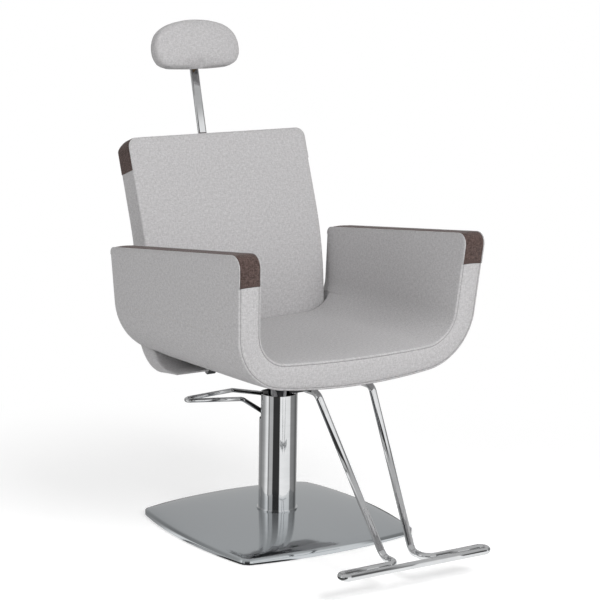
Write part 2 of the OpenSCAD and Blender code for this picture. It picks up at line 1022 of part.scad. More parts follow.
// Points of the curl under the seat from the toe to the heel, d inside its outer face
function heel_points(d) = concat(
  arc_points([heel_y, heel_z], heel_r - d, -quarter_turn - toe_slope, 0),
  [[heel_y + heel_r - d, bend_z - over]]
);
function back_points() = concat(
  [[toe_y + toe_r, toe_top], [toe_y, toe_top - toe_r], toe_low],
  heel_points(0),
  bow_points(back_t, 0, back_straight - back_rear_round - over),
  corner_arc(
    lean_at + behind * back_t + along * back_straight,
    lean_at + behind * back_t,
    lean_at + along * back_straight,
    back_rear_round
  ),
  corner_arc(
    lean_at + along * back_straight,
    lean_at + behind * back_t + along * back_straight,
    lean_at,
    back_edge_r
  ),
  reversed(bow_points(0, 0, back_edge_r + over)),
  arc_points([hug_y, hug_z], hug_r, 0, -quarter_turn)
);
// Places a piece on the straight upper part: x across, y into the back, z up along it
module upper() {
  translate([0, lean_at[0], lean_at[1]])
    rotate([-back_lean, 0, 0])
      children();
}
module upper_prism(side, y0, y1) {
  upper()
    along_y(y0, y1)
      rounded(
        [[-back_half + side, -far], [back_half - side, -far],
          [back_half - side, back_straight - side], [-back_half + side, back_straight - side]],
        [0, 0, back_corner_r - side, back_corner_r - side]
      );
}
module back_form() {
  intersection() {
    along_x(-back_half - over, back_half + over)
      polygon(back_points());
    upper_prism(0, -far, far);
  }
}
module band_body() {
  difference() {
    intersection() {
      back_form();
      upper()
        translate([-far, band_margin, back_straight - band_drop])
          cube([2 * far, back_t - 2 * band_margin, far]);
    }
    upper_prism(band_t, -over, back_t + over);
  }
}

// Frame of the backrest: two bent flat bars and a board
arm_deep = back_t - arm_skin;
module arm_outline() {
  polygon(concat(
    [[pivot_y, pivot_z - barrel_r / 2]],
    heel_points(arm_skin),
    bow_points(arm_deep, 0, arm_up),
    reversed(bow_points(arm_deep - arm_thick, 0, arm_up)),
    reversed(heel_points(arm_skin + arm_thick)),
    [[pivot_y, pivot_z + barrel_r / 2]]
  ));
  translate([pivot_y, pivot_z])
    circle(r = barrel_r);
}
module hinge_arms() {
  color("dimgray")
    difference() {
      for (c = [-arm_x, arm_x])
        along_x(c - arm_w / 2, c + arm_w / 2)
          arm_outline();
      translate([-far, pivot_y, pivot_z])
        rotate([0, quarter_turn, 0])
          cylinder(r = pin_r + run_fit, h = 2 * far);
    }
}
module board_body() {
  deep = arm_deep - arm_thick;
  along_x(-board_half, board_half)
    polygon(concat(
      bow_points(deep, board_turn, back_straight - board_top),
      reversed(bow_points(deep - board_t, board_turn, back_straight - board_top))
    ));
}
module back_board() {
  color("burlywood")
    difference() {
      board_body();
      guide_screw_places()
        cylinder(r = guide_screw_r, h = guide_screw_l + rest_gap);
    }
}
module back_cover() {
  color("lightgray")
    difference() {
      back_form();
      band_body();
      board_body();
      for (c = [-arm_x, arm_x])
        along_x(c - arm_w / 2, c + arm_w / 2)
          arm_outline();
      guide_screw_places()
        cylinder(r = guide_screw_r, h = guide_screw_l + rest_gap);
      for (c = [-arm_x, arm_x])
        translate([c - toe_slot_half, 0, side_floor - over])
          cube([2 * toe_slot_half, toe_slot_y, toe_top - side_floor + 2 * over]);
    }
}
module back_band() {
  color("saddlebrown")
    band_body();
}

// Headrest: the bar and its guide stand on their own lean behind the backrest
module on_bar() {
  translate([0, bar_at[0], bar_at[1]])
    rotate([-bar_lean, 0, 0])
      children();
}
module guide_box(grow) {
  on_bar()
    translate([-bar_w / 2 - grow, -bar_t / 2 - grow, -guide_at - guide_len - over])
      cube([bar_w + 2 * grow, bar_t + 2 * grow, guide_len + 2 * over]);
}
module bar_body(grow, low, high) {
  w = bar_w / 2 + grow;
  t = bar_t / 2 + grow;
  r = bar_round + grow;
  translate([0, 0, low])
    linear_extrude(high - low)
      rounded([[-w, -t], [w, -t], [w, t], [-w, t]], [r, r, r, r]);
}
module rear_space() {
  upper()
    translate([-far, back_t, -far])
      cube([2 * far, far, 2 * far]);
}
module headrest_guide() {
  color("dimgray")
    difference() {
      intersection() {
        on_bar()
          union() {
            translate([-bar_w / 2 - liner_t - guide_wall, -far / 2, -guide_at - guide_len])
              cube([
                bar_w + 2 * (liner_t + guide_wall),
                far / 2 + bar_t / 2 + liner_t + guide_wall,
                guide_len
              ]);
          }
        rear_space();
      }
      guide_box(liner_t);
    }
  color("dimgray")
    difference() {
      upper()
        translate([-guide_half - guide_flange, back_t, guide_foot])
          cube([2 * (guide_half + guide_flange), guide_wall, guide_len]);
      on_bar()
        translate([-bar_w / 2 - liner_t, -bar_t / 2 - liner_t, -guide_at - far])
          cube([bar_w + 2 * liner_t, bar_t + 2 * liner_t, far]);
      guide_screw_places()
        translate([0, 0, -over])
          cylinder(r = guide_screw_r + screw_fit, h = guide_wall + 2 * over);
    }
}
module guide_liner() {
  color("black")
    on_bar()
      translate([0, 0, -guide_at - guide_len])
        difference() {
          translate([-bar_w / 2 - liner_t, -bar_t / 2 - liner_t, 0])
            cube([bar_w + 2 * liner_t, bar_t + 2 * liner_t, guide_len]);
          bar_body(run_fit, -over, guide_len + over);
        }
}
module guide_screw_places() {
  upper()
    for (x = [-1, 1], z = [guide_screw_in, guide_len - guide_screw_in])
      translate([x * (guide_half + guide_flange / 2), back_t + guide_wall, guide_foot + z])
        rotate([quarter_turn, 0, 0])
          children();
}
module guide_screws() {
  color("gray")
    guide_screw_places() {
      translate([0, 0, -guide_screw_r])
        cylinder(r = 2 * guide_screw_r, h = guide_screw_r);
      cylinder(r = guide_screw_r, h = guide_screw_l);
    }
}
module headrest_bar() {
  color("silver")
    on_bar()
      bar_body(0, -bar_low, bar_high);
}
module bar_stop() {
  color("black")
    on_bar()
      translate([0, 0, -bar_low - stop_h])
        difference() {
          translate([-stop_w / 2, -stop_t / 2, 0])
            cube([stop_w, stop_t, 2 * stop_h]);
          bar_body(0, stop_h, 3 * stop_h);
        }
}
head_loop = concat(
  [for (q = head_shares) q],
  [for (i = [len(head_shares) - 2 : -1 : 1]) [-head_shares[i][0], head_shares[i][1]]]
);
function head_point(q, size, deep) = [
  q[0] * size * head_w / 2,
  head_back + (deep - 1) * head_t,
  head_low + head_h * (head_mid_share + (q[1] - head_mid_share) * size)
];
module head_form() {
  n = len(head_loop);
  m = len(head_ring_shares);
  mid = [0, head_mid_share];
  on_bar()
    polyhedron(
      points = [
        for (r = head_ring_shares) for (q = head_loop) head_point(q, r[0], r[1]),
        head_point(mid, 0, 0),
        head_point(mid, 0, 1)
      ],
      faces = concat(
        [for (k = [0 : m - 2], i = [0 : n - 1])
          let (a = k * n + i, b = k * n + (i + 1) % n)
          each [[a, a + n, b], [b, a + n, b + n]]],
        [for (i = [0 : n - 1]) [m * n, i, (i + 1) % n]],
        [for (i = [0 : n - 1]) [m * n + 1, (m - 1) * n + (i + 1) % n, (m - 1) * n + i]]
      )
    );
}
module plate_body() {
  on_bar()
    translate([-plate_w / 2, -bar_t / 2 - plate_t, bar_high - plate_h])
      cube([plate_w, plate_t, plate_h]);
}
module headrest_plate() {
  color("burlywood")
    plate_body();
}
module headrest_cushion() {
  color("lightgray")
    difference() {
      head_form();
      plate_body();
      on_bar()
        bar_body(0, -bar_low, bar_high);
    }
}

base_cover();
ballast_plate();
floor_mat();
foot_collar();
column_cover();
pump_body();
flange_bolts();
gland_ring();
lever_axle();
lever_yoke();
pump_lever();
piston();
piston_seal();
thrust_washer();
spindle_screw();
seat_hub();
seat_plate();
seat_screws();
shell_frame();
shell_cover();
seat_lining();
arm_pad_left();
arm_pad_right();
footrest();
footrest_clamps();
clamp_screws();
hinge_lugs();
lug_screws();
hinge_pins();
hinge_arms();
back_board();
back_cover();
back_band();
headrest_guide();
guide_liner();
guide_screws();
headrest_bar();
bar_stop();
headrest_plate();
headrest_cushion();
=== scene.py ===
"""Threading chair: upholstery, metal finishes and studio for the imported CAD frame."""

import json
from contextlib import contextmanager
from functools import cache
from math import acos, cos, degrees, pi, prod, radians, sin, sqrt, tan

import bmesh
import bpy
import numpy as np
from mathutils import Matrix, Vector


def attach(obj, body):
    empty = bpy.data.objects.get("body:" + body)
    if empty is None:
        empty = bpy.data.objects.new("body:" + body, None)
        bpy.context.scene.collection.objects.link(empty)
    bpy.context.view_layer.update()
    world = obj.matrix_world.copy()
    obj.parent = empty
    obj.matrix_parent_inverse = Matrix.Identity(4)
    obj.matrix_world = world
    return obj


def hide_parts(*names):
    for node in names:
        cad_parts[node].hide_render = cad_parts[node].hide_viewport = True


bl_info = {
    "name": "Threading chair",
    "version": (1, 0, 0),
    "blender": (4, 5, 0),
    "location": "View3D > Sidebar > Chair",
    "description": "Upholstery, finishes and studio of a threading chair",
    "category": "Object",
}

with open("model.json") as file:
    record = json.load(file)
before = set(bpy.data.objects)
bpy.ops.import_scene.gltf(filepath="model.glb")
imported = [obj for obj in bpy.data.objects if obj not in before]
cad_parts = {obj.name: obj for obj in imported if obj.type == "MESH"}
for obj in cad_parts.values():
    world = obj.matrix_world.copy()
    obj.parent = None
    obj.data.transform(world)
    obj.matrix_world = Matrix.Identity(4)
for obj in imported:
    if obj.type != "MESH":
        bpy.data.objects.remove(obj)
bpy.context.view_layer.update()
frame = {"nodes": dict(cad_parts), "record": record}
MM = 0.001
WELD = 1e-5  # points of a skin that are closer become one


def length(name, text, default):
    return bpy.props.FloatProperty(
        name=name, description=text, default=default, subtype="DISTANCE", unit="LENGTH"
    )


def angle(name, text, default):
    return bpy.props.FloatProperty(
        name=name, description=text, default=radians(default), subtype="ANGLE", unit="ROTATION"
    )


def colour(name, text, default):
    return bpy.props.FloatVectorProperty(
        name=name, description=text, default=default, size=3, min=0.0, max=1.0, subtype="COLOR"
    )


class ShellSizes(bpy.types.PropertyGroup):
    """Sizes of the upholstered seat shell"""

    arm_out: length("Arms, outside", "Half width over the arms at their front top", 0.3196)
    arm_in: length("Arms, inside", "Half width between the arms at their front top", 0.2643)
    arm_z: length("Arm height", "Height of the front top of the arms", 0.708)
    low_z: length("Underside", "Height of the underside at the front", 0.3915)
    sit_z: length("Sitting height", "Height of the sitting surface at the front", 0.457)
    edge: length("Edge", "Rounding of the covered edges", 0.004)
    crown: length("Crown", "How far the padding stands out between its seams", 0.0022)
    flare: angle("Flare", "Outward flare of the arms", 3.7)
    spread: length("Spread", "How much further out the arms stand at their rear", 0.0065)
    tilt: angle("Tilt", "Fall of the seat to the rear", 1.3)
    pad_deep: length("Pad depth", "How deep the arm pads are let in", 0.0074)
    welt: length("Welt", "Radius of the welts beside the arm pads", 0.0014)


class BackSizes(bpy.types.PropertyGroup):
    """Sizes of the backrest"""

    half: length("Half width", "Half the width of the backrest", 0.2385)
    thick: length("Thickness", "Thickness of the backrest", 0.06)
    lean: angle("Lean", "Lean of its upper part", 20)
    straight: length("Upper part", "Length of its straight upper part", 0.178)
    edge: length("Edge", "Rounding of the covered edges", 0.0055)
    corner: length("Corner", "Rounding of its top corners", 0.022)
    rear_round: length("Rear edge", "Rounding of its top rear edge", 0.028)
    band_drop: length("Band", "How far the coloured band comes down the sides", 0.074)
    crown: length("Crown", "How far the padding stands out between its seams", 0.003)


class HeadSizes(bpy.types.PropertyGroup):
    """Padding of the headrest"""

    voxel: length("Mesh size", "Size of the mesh that the fabric is simulated on", 0.0045)
    slack: length("Shrink", "How much smaller the fabric starts", 0.003)
    cap: length("Swell", "How far a point of the fabric may move", 0.007)
    rounds: bpy.props.IntProperty(name="Rounding", description="Smoothing steps of its edges", default=5)
    pressure: bpy.props.FloatProperty(
        name="Pressure", description="Fill pressure of the cushion", default=4.0
    )
    frames: bpy.props.IntProperty(name="Frames", description="Steps of the simulation", default=20)


class ChairColours(bpy.types.PropertyGroup):
    """Colours of the finishes"""

    fabric: colour("Light fabric", "Main woven fabric", (0.595, 0.587, 0.592))
    fabric_dark: colour("Light fabric threads", "Darker threads of the main fabric", (0.375, 0.366, 0.372))
    brown: colour("Dark fabric", "Fabric of the arm pads and the band", (0.135, 0.092, 0.082))
    brown_dark: colour("Dark fabric threads", "Darker threads of the pads", (0.035, 0.022, 0.02))
    chrome: colour("Chrome", "Polished metal", (0.80, 0.81, 0.82))
    steel: colour("Steel", "Satin steel of the base", (0.615, 0.645, 0.665))
    timber: colour("Timber", "Frame and board", (0.52, 0.36, 0.2))


CAMERA = {
    "at": (-2.614248, -4.047671, 1.497335),
    "right": (0.83647739, -0.54778717, 0.01532319),
    "up": (0.09554813, 0.17332267, 0.98021926),
    "into": (0.53960739, 0.81846715, -0.19732054),
    "lens": 130.55,
}
# Studio round the chair as bright metal sees it: degrees to the right of the camera, and grey level
STUDIO_RING = [
    (-180, 0.48), (-115, 0.24), (-88, 0.4), (-70, 0.95), (-61, 0.9), (-57, 0.1), (-50, 0.5), (-32, 0.5),
    (-28, 0.04), (9, 0.04), (13, 1.0), (74, 0.9), (80, 0.28), (105, 0.24), (128, 0.1), (150, 0.48),
]


# Shader expressions


def operators(kind):
    """An operator of Val that adds a Math node, and its reflected form"""

    def add(looks, a, b):
        return looks.node("Math", {0: a, 1: b}, operation=kind)

    return lambda a, b: add(a.looks, a, b), lambda a, b: add(a.looks, b, a)


class Val:
    """A socket that arithmetic can be written with"""

    def __init__(self, looks, socket):
        self.looks, self.socket = looks, socket

    __add__, __radd__ = operators("ADD")
    __mul__, __rmul__ = operators("MULTIPLY")
    __truediv__, __rtruediv__ = operators("DIVIDE")
    __pow__, __rpow__ = operators("POWER")

    def sin(self):
        return self.looks.node("Math", {0: self}, operation="SINE")


class Looks:
    """The nodes of one material or world"""

    def __init__(self, name, world=False):
        self.world = world
        self.owner = (bpy.data.worlds if world else bpy.data.materials).new(name)
        self.owner.use_nodes = True
        self.tree = self.owner.node_tree
        self.tree.nodes.clear()

    def node(self, kind, values, output=0, **settings):
        """A new node, its inputs set to values or linked, and one of its outputs given back"""
        n = self.tree.nodes.new("ShaderNode" + kind)
        for key, value in settings.items():
            if key == "stops":
                ramp = n.color_ramp
                while len(ramp.elements) < len(value):
                    ramp.elements.new(0.5)
                for element, (place, shade) in zip(ramp.elements, value):
                    element.position, element.color = place, shade
            else:
                setattr(n, key, value)
        for key, value in values.items():
            socket = n.inputs[key]
            if isinstance(value, Val):
                self.tree.links.new(value.socket, socket)
            else:
                socket.default_value = value
        return Val(self, n.outputs[output])

    def attribute(self, name, output="Vector"):
        return self.node("Attribute", {}, output, attribute_name=name)

    def noise(self, vector, scale, detail, rough):
        """Noise at one scale, or at one for each axis"""
        if isinstance(scale, tuple):
            vector, scale = self.node("Mapping", {"Vector": vector, "Scale": scale}), 1.0
        values = {"Vector": vector, "Scale": scale, "Detail": detail, "Roughness": rough}
        return self.node("TexNoise", values, "Fac")

    def parts(self, vector):
        first = self.node("SeparateXYZ", {0: vector})
        return [Val(self, o) for o in first.socket.node.outputs]

    def mix(self, fac, a, b):
        a, b = (v if isinstance(v, Val) else (*v, 1.0) for v in (a, b))
        return self.node("Mix", {0: fac, 6: a, 7: b}, 2, data_type="RGBA")

    def band(self, value, low, high):
        """0 below low, 1 above high, smooth between"""
        values = {0: value, 1: low, 2: high}
        return self.node("MapRange", values, interpolation_type="SMOOTHSTEP")

    def crossed(self, vector, across, along, rough):
        """Half noise drawn out along the warp, half along the weft"""
        warp = self.noise(vector, (across, along, 1), 2.0, rough)
        weft = self.noise(vector, (along, across, 1), 2.0, rough)
        return (warp + weft) * 0.5

    def bump(self, height, distance, strength=0.5):
        return self.node("Bump", {"Height": height, "Distance": distance, "Strength": strength})

    def surface(self, values):
        return self.output(self.node("BsdfPrincipled", values))

    def either_ray(self, *kinds):
        """1 or more for rays of these kinds, 0 for all others"""
        total = 0.0
        for kind in kinds:
            total = self.node("LightPath", {}, kind) + total
        return total

    def studio_ring(self, x, y):
        """Grey level of the studio round the chair, by the compass direction of (x, y)"""
        right, toward = CAMERA["right"], [-v for v in CAMERA["into"]]
        across = x * right[0] + y * right[1]
        ahead = x * toward[0] + y * toward[1]
        turn = self.node("Math", {0: across, 1: ahead}, operation="ARCTAN2")
        place = turn / (2 * pi) + 0.5
        stops = [(0.5 + a / 360, (g, g, g, 1.0)) for a, g in STUDIO_RING]
        return self.node("ValToRGB", {"Fac": place}, "Color", stops=stops)

    def light(self, tone, strength=1.0):
        """Light of this tone, which is 1 for white or a socket"""
        kind = "Background" if self.world else "Emission"
        tone = (1, 1, 1, 1) if tone == 1 else tone
        return self.node(kind, {"Color": tone, "Strength": strength})

    def choose(self, fac, a, b):
        """Shader a where fac is 0, and b where it is 1"""
        return self.node("MixShader", {0: fac, 1: a, 2: b})

    def output(self, shader):
        n = self.tree.nodes.new("ShaderNodeOutputWorld" if self.world else "ShaderNodeOutputMaterial")
        self.tree.links.new(shader.socket, n.inputs["Surface"])
        return self.owner


def on_object(name):
    """A new material, and the coordinates of the object that it is on"""
    m = Looks(name)
    return m, m.node("TexCoord", {}, "Object")


# Change of tone per metre across and along the threads
FLECKS, SLUBS = (2600, 260), (330, 120)
SLUB_SPAN = 0.18  # half the run of noise from dark to light threads


def woven(name, light, dark, mottle, seam_shade, pitch=0.0017):
    """Plain weave that follows the piece's own weave coordinates, with flecked threads and painted shade
    along its seams
    """
    m = Looks(name)
    weave = m.attribute("weave")
    u, v, _ = m.parts(weave)
    turn = 2 * pi / pitch
    over = (u * turn).sin() * (v * turn).sin()
    fleck = m.band(m.crossed(weave, *FLECKS, 0.6), 0.40, 0.60)
    span = SLUB_SPAN / mottle
    slub = m.band(m.crossed(weave, *SLUBS, 0.7), 0.5 - span, 0.5 + span)
    shade = fleck * 0.3 + slub * 0.7
    colour_mix = m.mix(shade, dark, light)
    # Painted shade along the seams: where the seam mark is set, the colour darkens towards a third of the
    # dark threads' tone, in place of the shade in the seam's groove
    seam = m.attribute("seam", "Fac")
    colour_mix = m.mix(seam * seam_shade, colour_mix, [c * 0.35 for c in dark])
    height = over * 0.5 + fleck * 0.7
    values = {
        "Base Color": colour_mix,
        "Roughness": 0.82 + shade * 0.1,
        "Normal": m.bump(height, 0.00035, 0.6),
        "Sheen Weight": 0.12,
        "Sheen Roughness": 0.5,
        "Specular IOR Level": 0.25,
    }
    return m.surface(values)


def polished(name, tone):
    """Chrome: faint wiping marks in the roughness only"""
    m, place = on_object(name)
    smear = m.noise(place, (18, 18, 60), 4.0, 0.6)
    dust = m.noise(place, 900.0, 2.0, 0.6)
    return m.surface({
        "Base Color": m.mix(m.band(smear, 0.35, 0.75), [c * 0.94 for c in tone], tone),
        "Metallic": 1.0,
        "Roughness": 0.02 + smear * 0.04 + m.band(dust, 0.62, 0.8) * 0.03,
    })


RIM_Z = 0.0118, 0.0145  # heights where the polished rim ends and the brushed dome starts


def satin(name, tone):
    """Satin steel: fine brushing over the dome and a polished rim"""
    m, place = on_object(name)
    brush = m.noise(place, (14, 900, 14), 3.0, 0.6)
    cloud = m.noise(place, 9.0, 3.0, 0.5)
    _, _, z = m.parts(place)
    dome = m.band(z, *RIM_Z)
    return m.surface({
        "Base Color": m.mix(brush * 0.5 + cloud * 0.3, [c * 0.93 for c in tone], tone),
        "Metallic": 1.0,
        "Roughness": 0.05 + dome * brush * 0.07,
        "Normal": m.bump(brush * dome, 0.00004),
    })


def painted(name, tone, grain, rough, depth=0.00012):
    """Painted or moulded surface with a fine orange peel"""
    m, place = on_object(name)
    peel = m.noise(place, grain, 3.0, 0.5)
    wear = m.noise(place, 40.0, 4.0, 0.6)
    dull, bright = [c * 0.85 for c in tone], [min(1, c * 1.2) for c in tone]
    return m.surface({
        "Base Color": m.mix(m.band(wear, 0.3, 0.8), dull, bright),
        "Roughness": rough + wear * 0.12,
        "Normal": m.bump(peel, depth),
    })


def turned(name, tone, rough):
    """Turned or plated metal with fine rings about the vertical"""
    m, place = on_object(name)
    rings = m.noise(place, (30, 30, 2500), 2.0, 0.6)
    return m.surface({
        "Base Color": m.mix(rings, [c * 0.88 for c in tone], tone),
        "Metallic": 1.0,
        "Roughness": rough + rings * 0.1,
        "Normal": m.bump(rings, 0.00003),
    })


def plywood(name, tone):
    """Bent plywood: long grain across the seat and thin plies"""
    m, place = on_object(name)
    grain = m.noise(place, (6, 150, 150), 6.0, 0.65)
    pores = m.noise(place, (40, 900, 900), 2.0, 0.5)
    return m.surface({
        "Base Color": m.mix(m.band(grain, 0.3, 0.7), [c * 0.7 for c in tone], tone),
        "Roughness": 0.55 + grain * 0.15,
        "Normal": m.bump(grain + pores * 0.4, 0.0002),
    })


@cache
def finishes():
    """The materials, made once"""
    c = bpy.context.scene.chair_colours
    return {
        # woven: name, light and dark threads, mottle, depth of the painted seam shade, and weave pitch
        "light_fabric": woven("light woven fabric", c.fabric, c.fabric_dark, 1.0, 0.75),
        "dark_fabric": woven("dark woven fabric", c.brown, c.brown_dark, 1.8, 0.6, 0.0015),
        "chrome": polished("polished chrome", c.chrome),
        "satin_steel": satin("satin steel", c.steel),
        "cast_plate": painted("painted ballast", (0.12, 0.12, 0.125), 220.0, 0.55),
        "mat": painted("rubber mat", (0.035, 0.035, 0.036), 500.0, 0.75, 0.0002),
        "cast_pump": painted("painted pump", (0.16, 0.165, 0.17), 260.0, 0.5),
        "fasteners": turned("zinc plated steel", (0.55, 0.55, 0.57), 0.3),
        "bronze": turned("turned bronze", (0.62, 0.44, 0.22), 0.25),
        "black_steel": painted("black painted steel", (0.04, 0.04, 0.042), 420.0, 0.38),
        "seal": painted("seal", (0.72, 0.72, 0.68), 500.0, 0.5),
        "timber": plywood("bent plywood", c.timber),
        "liner": painted("moulded liner", (0.03, 0.03, 0.03), 600.0, 0.5),
    }


# Plane geometry in millimetres

ROUND_TURNS = 8  # steps of half a rounded corner, and round a welt


def ray(a):
    return np.array([cos(radians(a)), sin(radians(a))])


def meet(p, a, q, b):
    u, v = ray(a), ray(b)
    d = np.subtract(q, p)
    return np.asarray(p) + u * (d[0] * v[1] - d[1] * v[0]) / (u[0] * v[1] - u[1] * v[0])


def turned_by(p, t):
    """A point turned about the origin by t radians"""
    return np.array([p[0] * cos(t) - p[1] * sin(t), p[0] * sin(t) + p[1] * cos(t)])


def arc(centre, r, a, b, n):
    return [np.asarray(centre) + r * ray(a + (b - a) * i / n) for i in range(n + 1)]


def lengths_along(points):
    """Length along a polyline at each of its points"""
    return np.concatenate([[0], np.cumsum(np.linalg.norm(np.diff(points, axis=0), axis=1))])


def along_line(points, shares):
    """Points at these shares of a polyline's length"""
    p = np.array(points, float)
    step = lengths_along(p)
    at = np.asarray(shares) * step[-1]
    return np.stack([np.interp(at, step, p[:, k]) for k in range(p.shape[1])], axis=1)


def unit(v):
    return v / np.linalg.norm(v)


def fillet(corner, a, b, r):
    """Half of a rounded corner, from the line towards a to the middle of the round"""
    u, v = unit(a - corner), unit(b - corner)
    half = acos(np.clip(u @ v, -1, 1)) / 2
    c = corner + unit(u + v) * r / sin(half)
    start = corner + u * r / tan(half) - c
    sign = np.sign(u[0] * v[1] - u[1] * v[0])
    turn = -sign * (pi - 2 * half) * 0.5
    return [c + turned_by(start, turn * i / ROUND_TURNS) for i in range(ROUND_TURNS + 1)]


def coons(bottom, top, front, rear, us, vs):
    """Grid of points between four edges: bottom and top run along u, front and rear along v"""
    u = np.asarray(us)[:, None, None]
    v = np.asarray(vs)[None, :, None]
    return (
        (1 - v) * bottom[:, None] + v * top[:, None] + (1 - u) * front[None] + u * rear[None]
        - (1 - u) * (1 - v) * bottom[0] - u * (1 - v) * bottom[-1]
        - (1 - u) * v * top[0] - u * v * top[-1]
    )


def linked(name, data):
    """A new object in the scene"""
    piece = bpy.data.objects.new(name, data)
    bpy.context.scene.collection.objects.link(piece)
    return piece


def pick(piece):
    """Makes a piece the only one selected, and active"""
    bpy.ops.object.select_all(action="DESELECT")
    piece.select_set(True)
    bpy.context.view_layer.objects.active = piece


class Skin:
    """Collects grids of points as quads, in millimetres, with weave coordinates and the seam marks where
    the fabric gets painted seam shade
    """

    def __init__(self):
        self.points, self.faces, self.weave, self.seam = [], [], [], []

    def grid(self, rows, weave, seam=None):
        rows, weave = np.asarray(rows, float), np.asarray(weave, float)
        a, b = rows.shape[:2]
        seam = np.zeros((a, b)) if seam is None else np.asarray(seam, float)
        base = len(self.points)
        self.points += rows.reshape(-1, 3).tolist()
        self.weave += weave.reshape(-1, 2).tolist()
        self.seam += seam.reshape(-1).tolist()
        for i in range(a - 1):
            for j in range(b - 1):
                k = base + i * b + j
                self.faces.append((k, k + 1, k + b + 1, k + b))

    def strips(self, rows):
        """A grid from rows of cells, each a point, its weave and perhaps its seam mark"""
        self.grid(*([[cell[k] for cell in row] for row in rows] for k in range(len(rows[0][0]))))

    def mirrored(self):
        n = len(self.points)
        self.points += [[-x, y, z] for x, y, z in self.points]
        self.weave += [[-a, b] for a, b in self.weave]
        self.seam += list(self.seam)
        self.faces += [tuple(n + k for k in reversed(f)) for f in self.faces]
        return self

    def build(self, name):
        mesh = bpy.data.meshes.new(name)
        bm = bmesh.new()
        layer = bm.verts.layers.float_vector.new("weave")
        mark = bm.verts.layers.float.new("seam")
        verts = []
        for p, w, s in zip(self.points, self.weave, self.seam):
            vert = bm.verts.new(Vector(p) * MM)
            vert[layer] = Vector((w[0] * MM, w[1] * MM, 0))
            vert[mark] = s
            verts.append(vert)
        for f in self.faces:
            bm.faces.new([verts[k] for k in f])
        bmesh.ops.remove_doubles(bm, verts=bm.verts, dist=WELD)
        bmesh.ops.dissolve_degenerate(bm, dist=WELD / 2, edges=bm.edges)
        bmesh.ops.recalc_face_normals(bm, faces=bm.faces)
        for f in bm.faces:
            f.smooth = True
        bm.to_mesh(mesh)
        bm.free()
        return linked(name, mesh)


def coat(piece, slot):
    """Gives a piece the finish of a material slot"""
    piece.data.materials.clear()
    piece.data.materials.append(finishes()[slot])


def finish_piece(piece, body, slot, nodes=(), crisp=None):
    """Rides a piece on its body, with its finish and the CAD nodes that it stands for"""
    if crisp is not None:
        pick(piece)
        bpy.ops.object.shade_smooth_by_angle(angle=radians(crisp))
    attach(piece, body)
    coat(piece, slot)
    if nodes:
        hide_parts(*nodes)
    return piece


# Seat shell

# Points and lines of the side view (y, z) in millimetres and degrees
PIVOT = np.array([-310.0, 391.5])  # the seat's fall turns about it
FRONT_FOOT, FRONT_LEAN = np.array([-308.5, 391.5]), 5.2
ARM_FRONT_Y, ARM_RISE = -336.5, 6.9
REAR_FOOT, REAR_LEAN = np.array([202.5, 500.0]), 2.3
HUG, HUG_R, HUG_GAP = np.array([96.0, 450.0]), 77.0, 3.0
NOTCH = 245.5  # half width of the notch that the backrest goes through
NOTCH_STEP, NOTCH_ROOM = 0.15, 11.5  # half width of its step, and room that it keeps to the faces
FRONT_ROUND, REAR_ROUND = 24, 15  # top corners of the arms, seen from the side
LEVEL_STEPS, CORNER_STEPS = 15, 19
CROWN_SHARE, CROWN_RUN = 0.9, 90  # full crown of the faces, and distance from an edge where it is reached
ROWS = [
    0, .005, .011, .018, .026, .035, .045, .07, .12, .19, .27, .36,
    .45, .54, .63, .72, .80, .87, .92, .955, .975, .985, .992, 1,
]
ARM_ROWS = [0, .1, .2, .3, .4, .5, .58, .635, .64, .70, .77, .85, .87, .892, .914, .936, .958, .98, 1]
PAD_ROW = ARM_ROWS.index(.64)  # where the arm pad starts, on the way up the arm's front edge
# Place in the wall, start and direction of the weave, of the outer and the inner faces
FACES = ((0.0, 0.0, 1), (1.0, -60.0, -1))
# Outline of the U: slope of its bottom, radius of the bottom's crown and of the corners
OUTSIDE = {"slope": 7.6, "crown": 1400, "corner": 134}
INSIDE = {"slope": 3.4, "crown": 3000, "corner": 75}
BOTTOM_TURNS, CORNER_TURNS = 24, 32
EDGE_TURNS = (0, 22.5, 45, 67.5, 90)  # degrees round a covered edge


class Cup:
    """Half of a U outline seen from the front: bottom, corner and flared side"""

    def __init__(self, w, top, z, flare, slope, crown, corner):
        self.w, self.top, self.flare = w, top, flare
        side, up = np.array([w, top]), 90 - flare
        sl = radians(slope)
        tangent = corner * tan(radians((up - slope) / 2))

        def straight():
            """The straight part of the bottom, from where it meets the middle to the side"""
            low = np.array([0.0, z - crown * (1 / cos(sl) - 1)])
            return low, meet(low, slope, side, up)

        for _ in range(2):
            low, edge = straight()
            crown = min(crown, (np.linalg.norm(edge - low) - tangent) * 0.98 / tan(sl))
        start = straight()[1] - ray(slope) * tangent
        centre = start + corner * ray(slope + 90)
        self.bottom = arc([0, z + crown], crown, -90, -90 + slope, BOTTOM_TURNS) + [start]
        self.corner = arc(centre, corner, -90 + slope, -flare, CORNER_TURNS)

    def x(self, z):
        return self.w - (self.top - z) * tan(radians(self.flare))


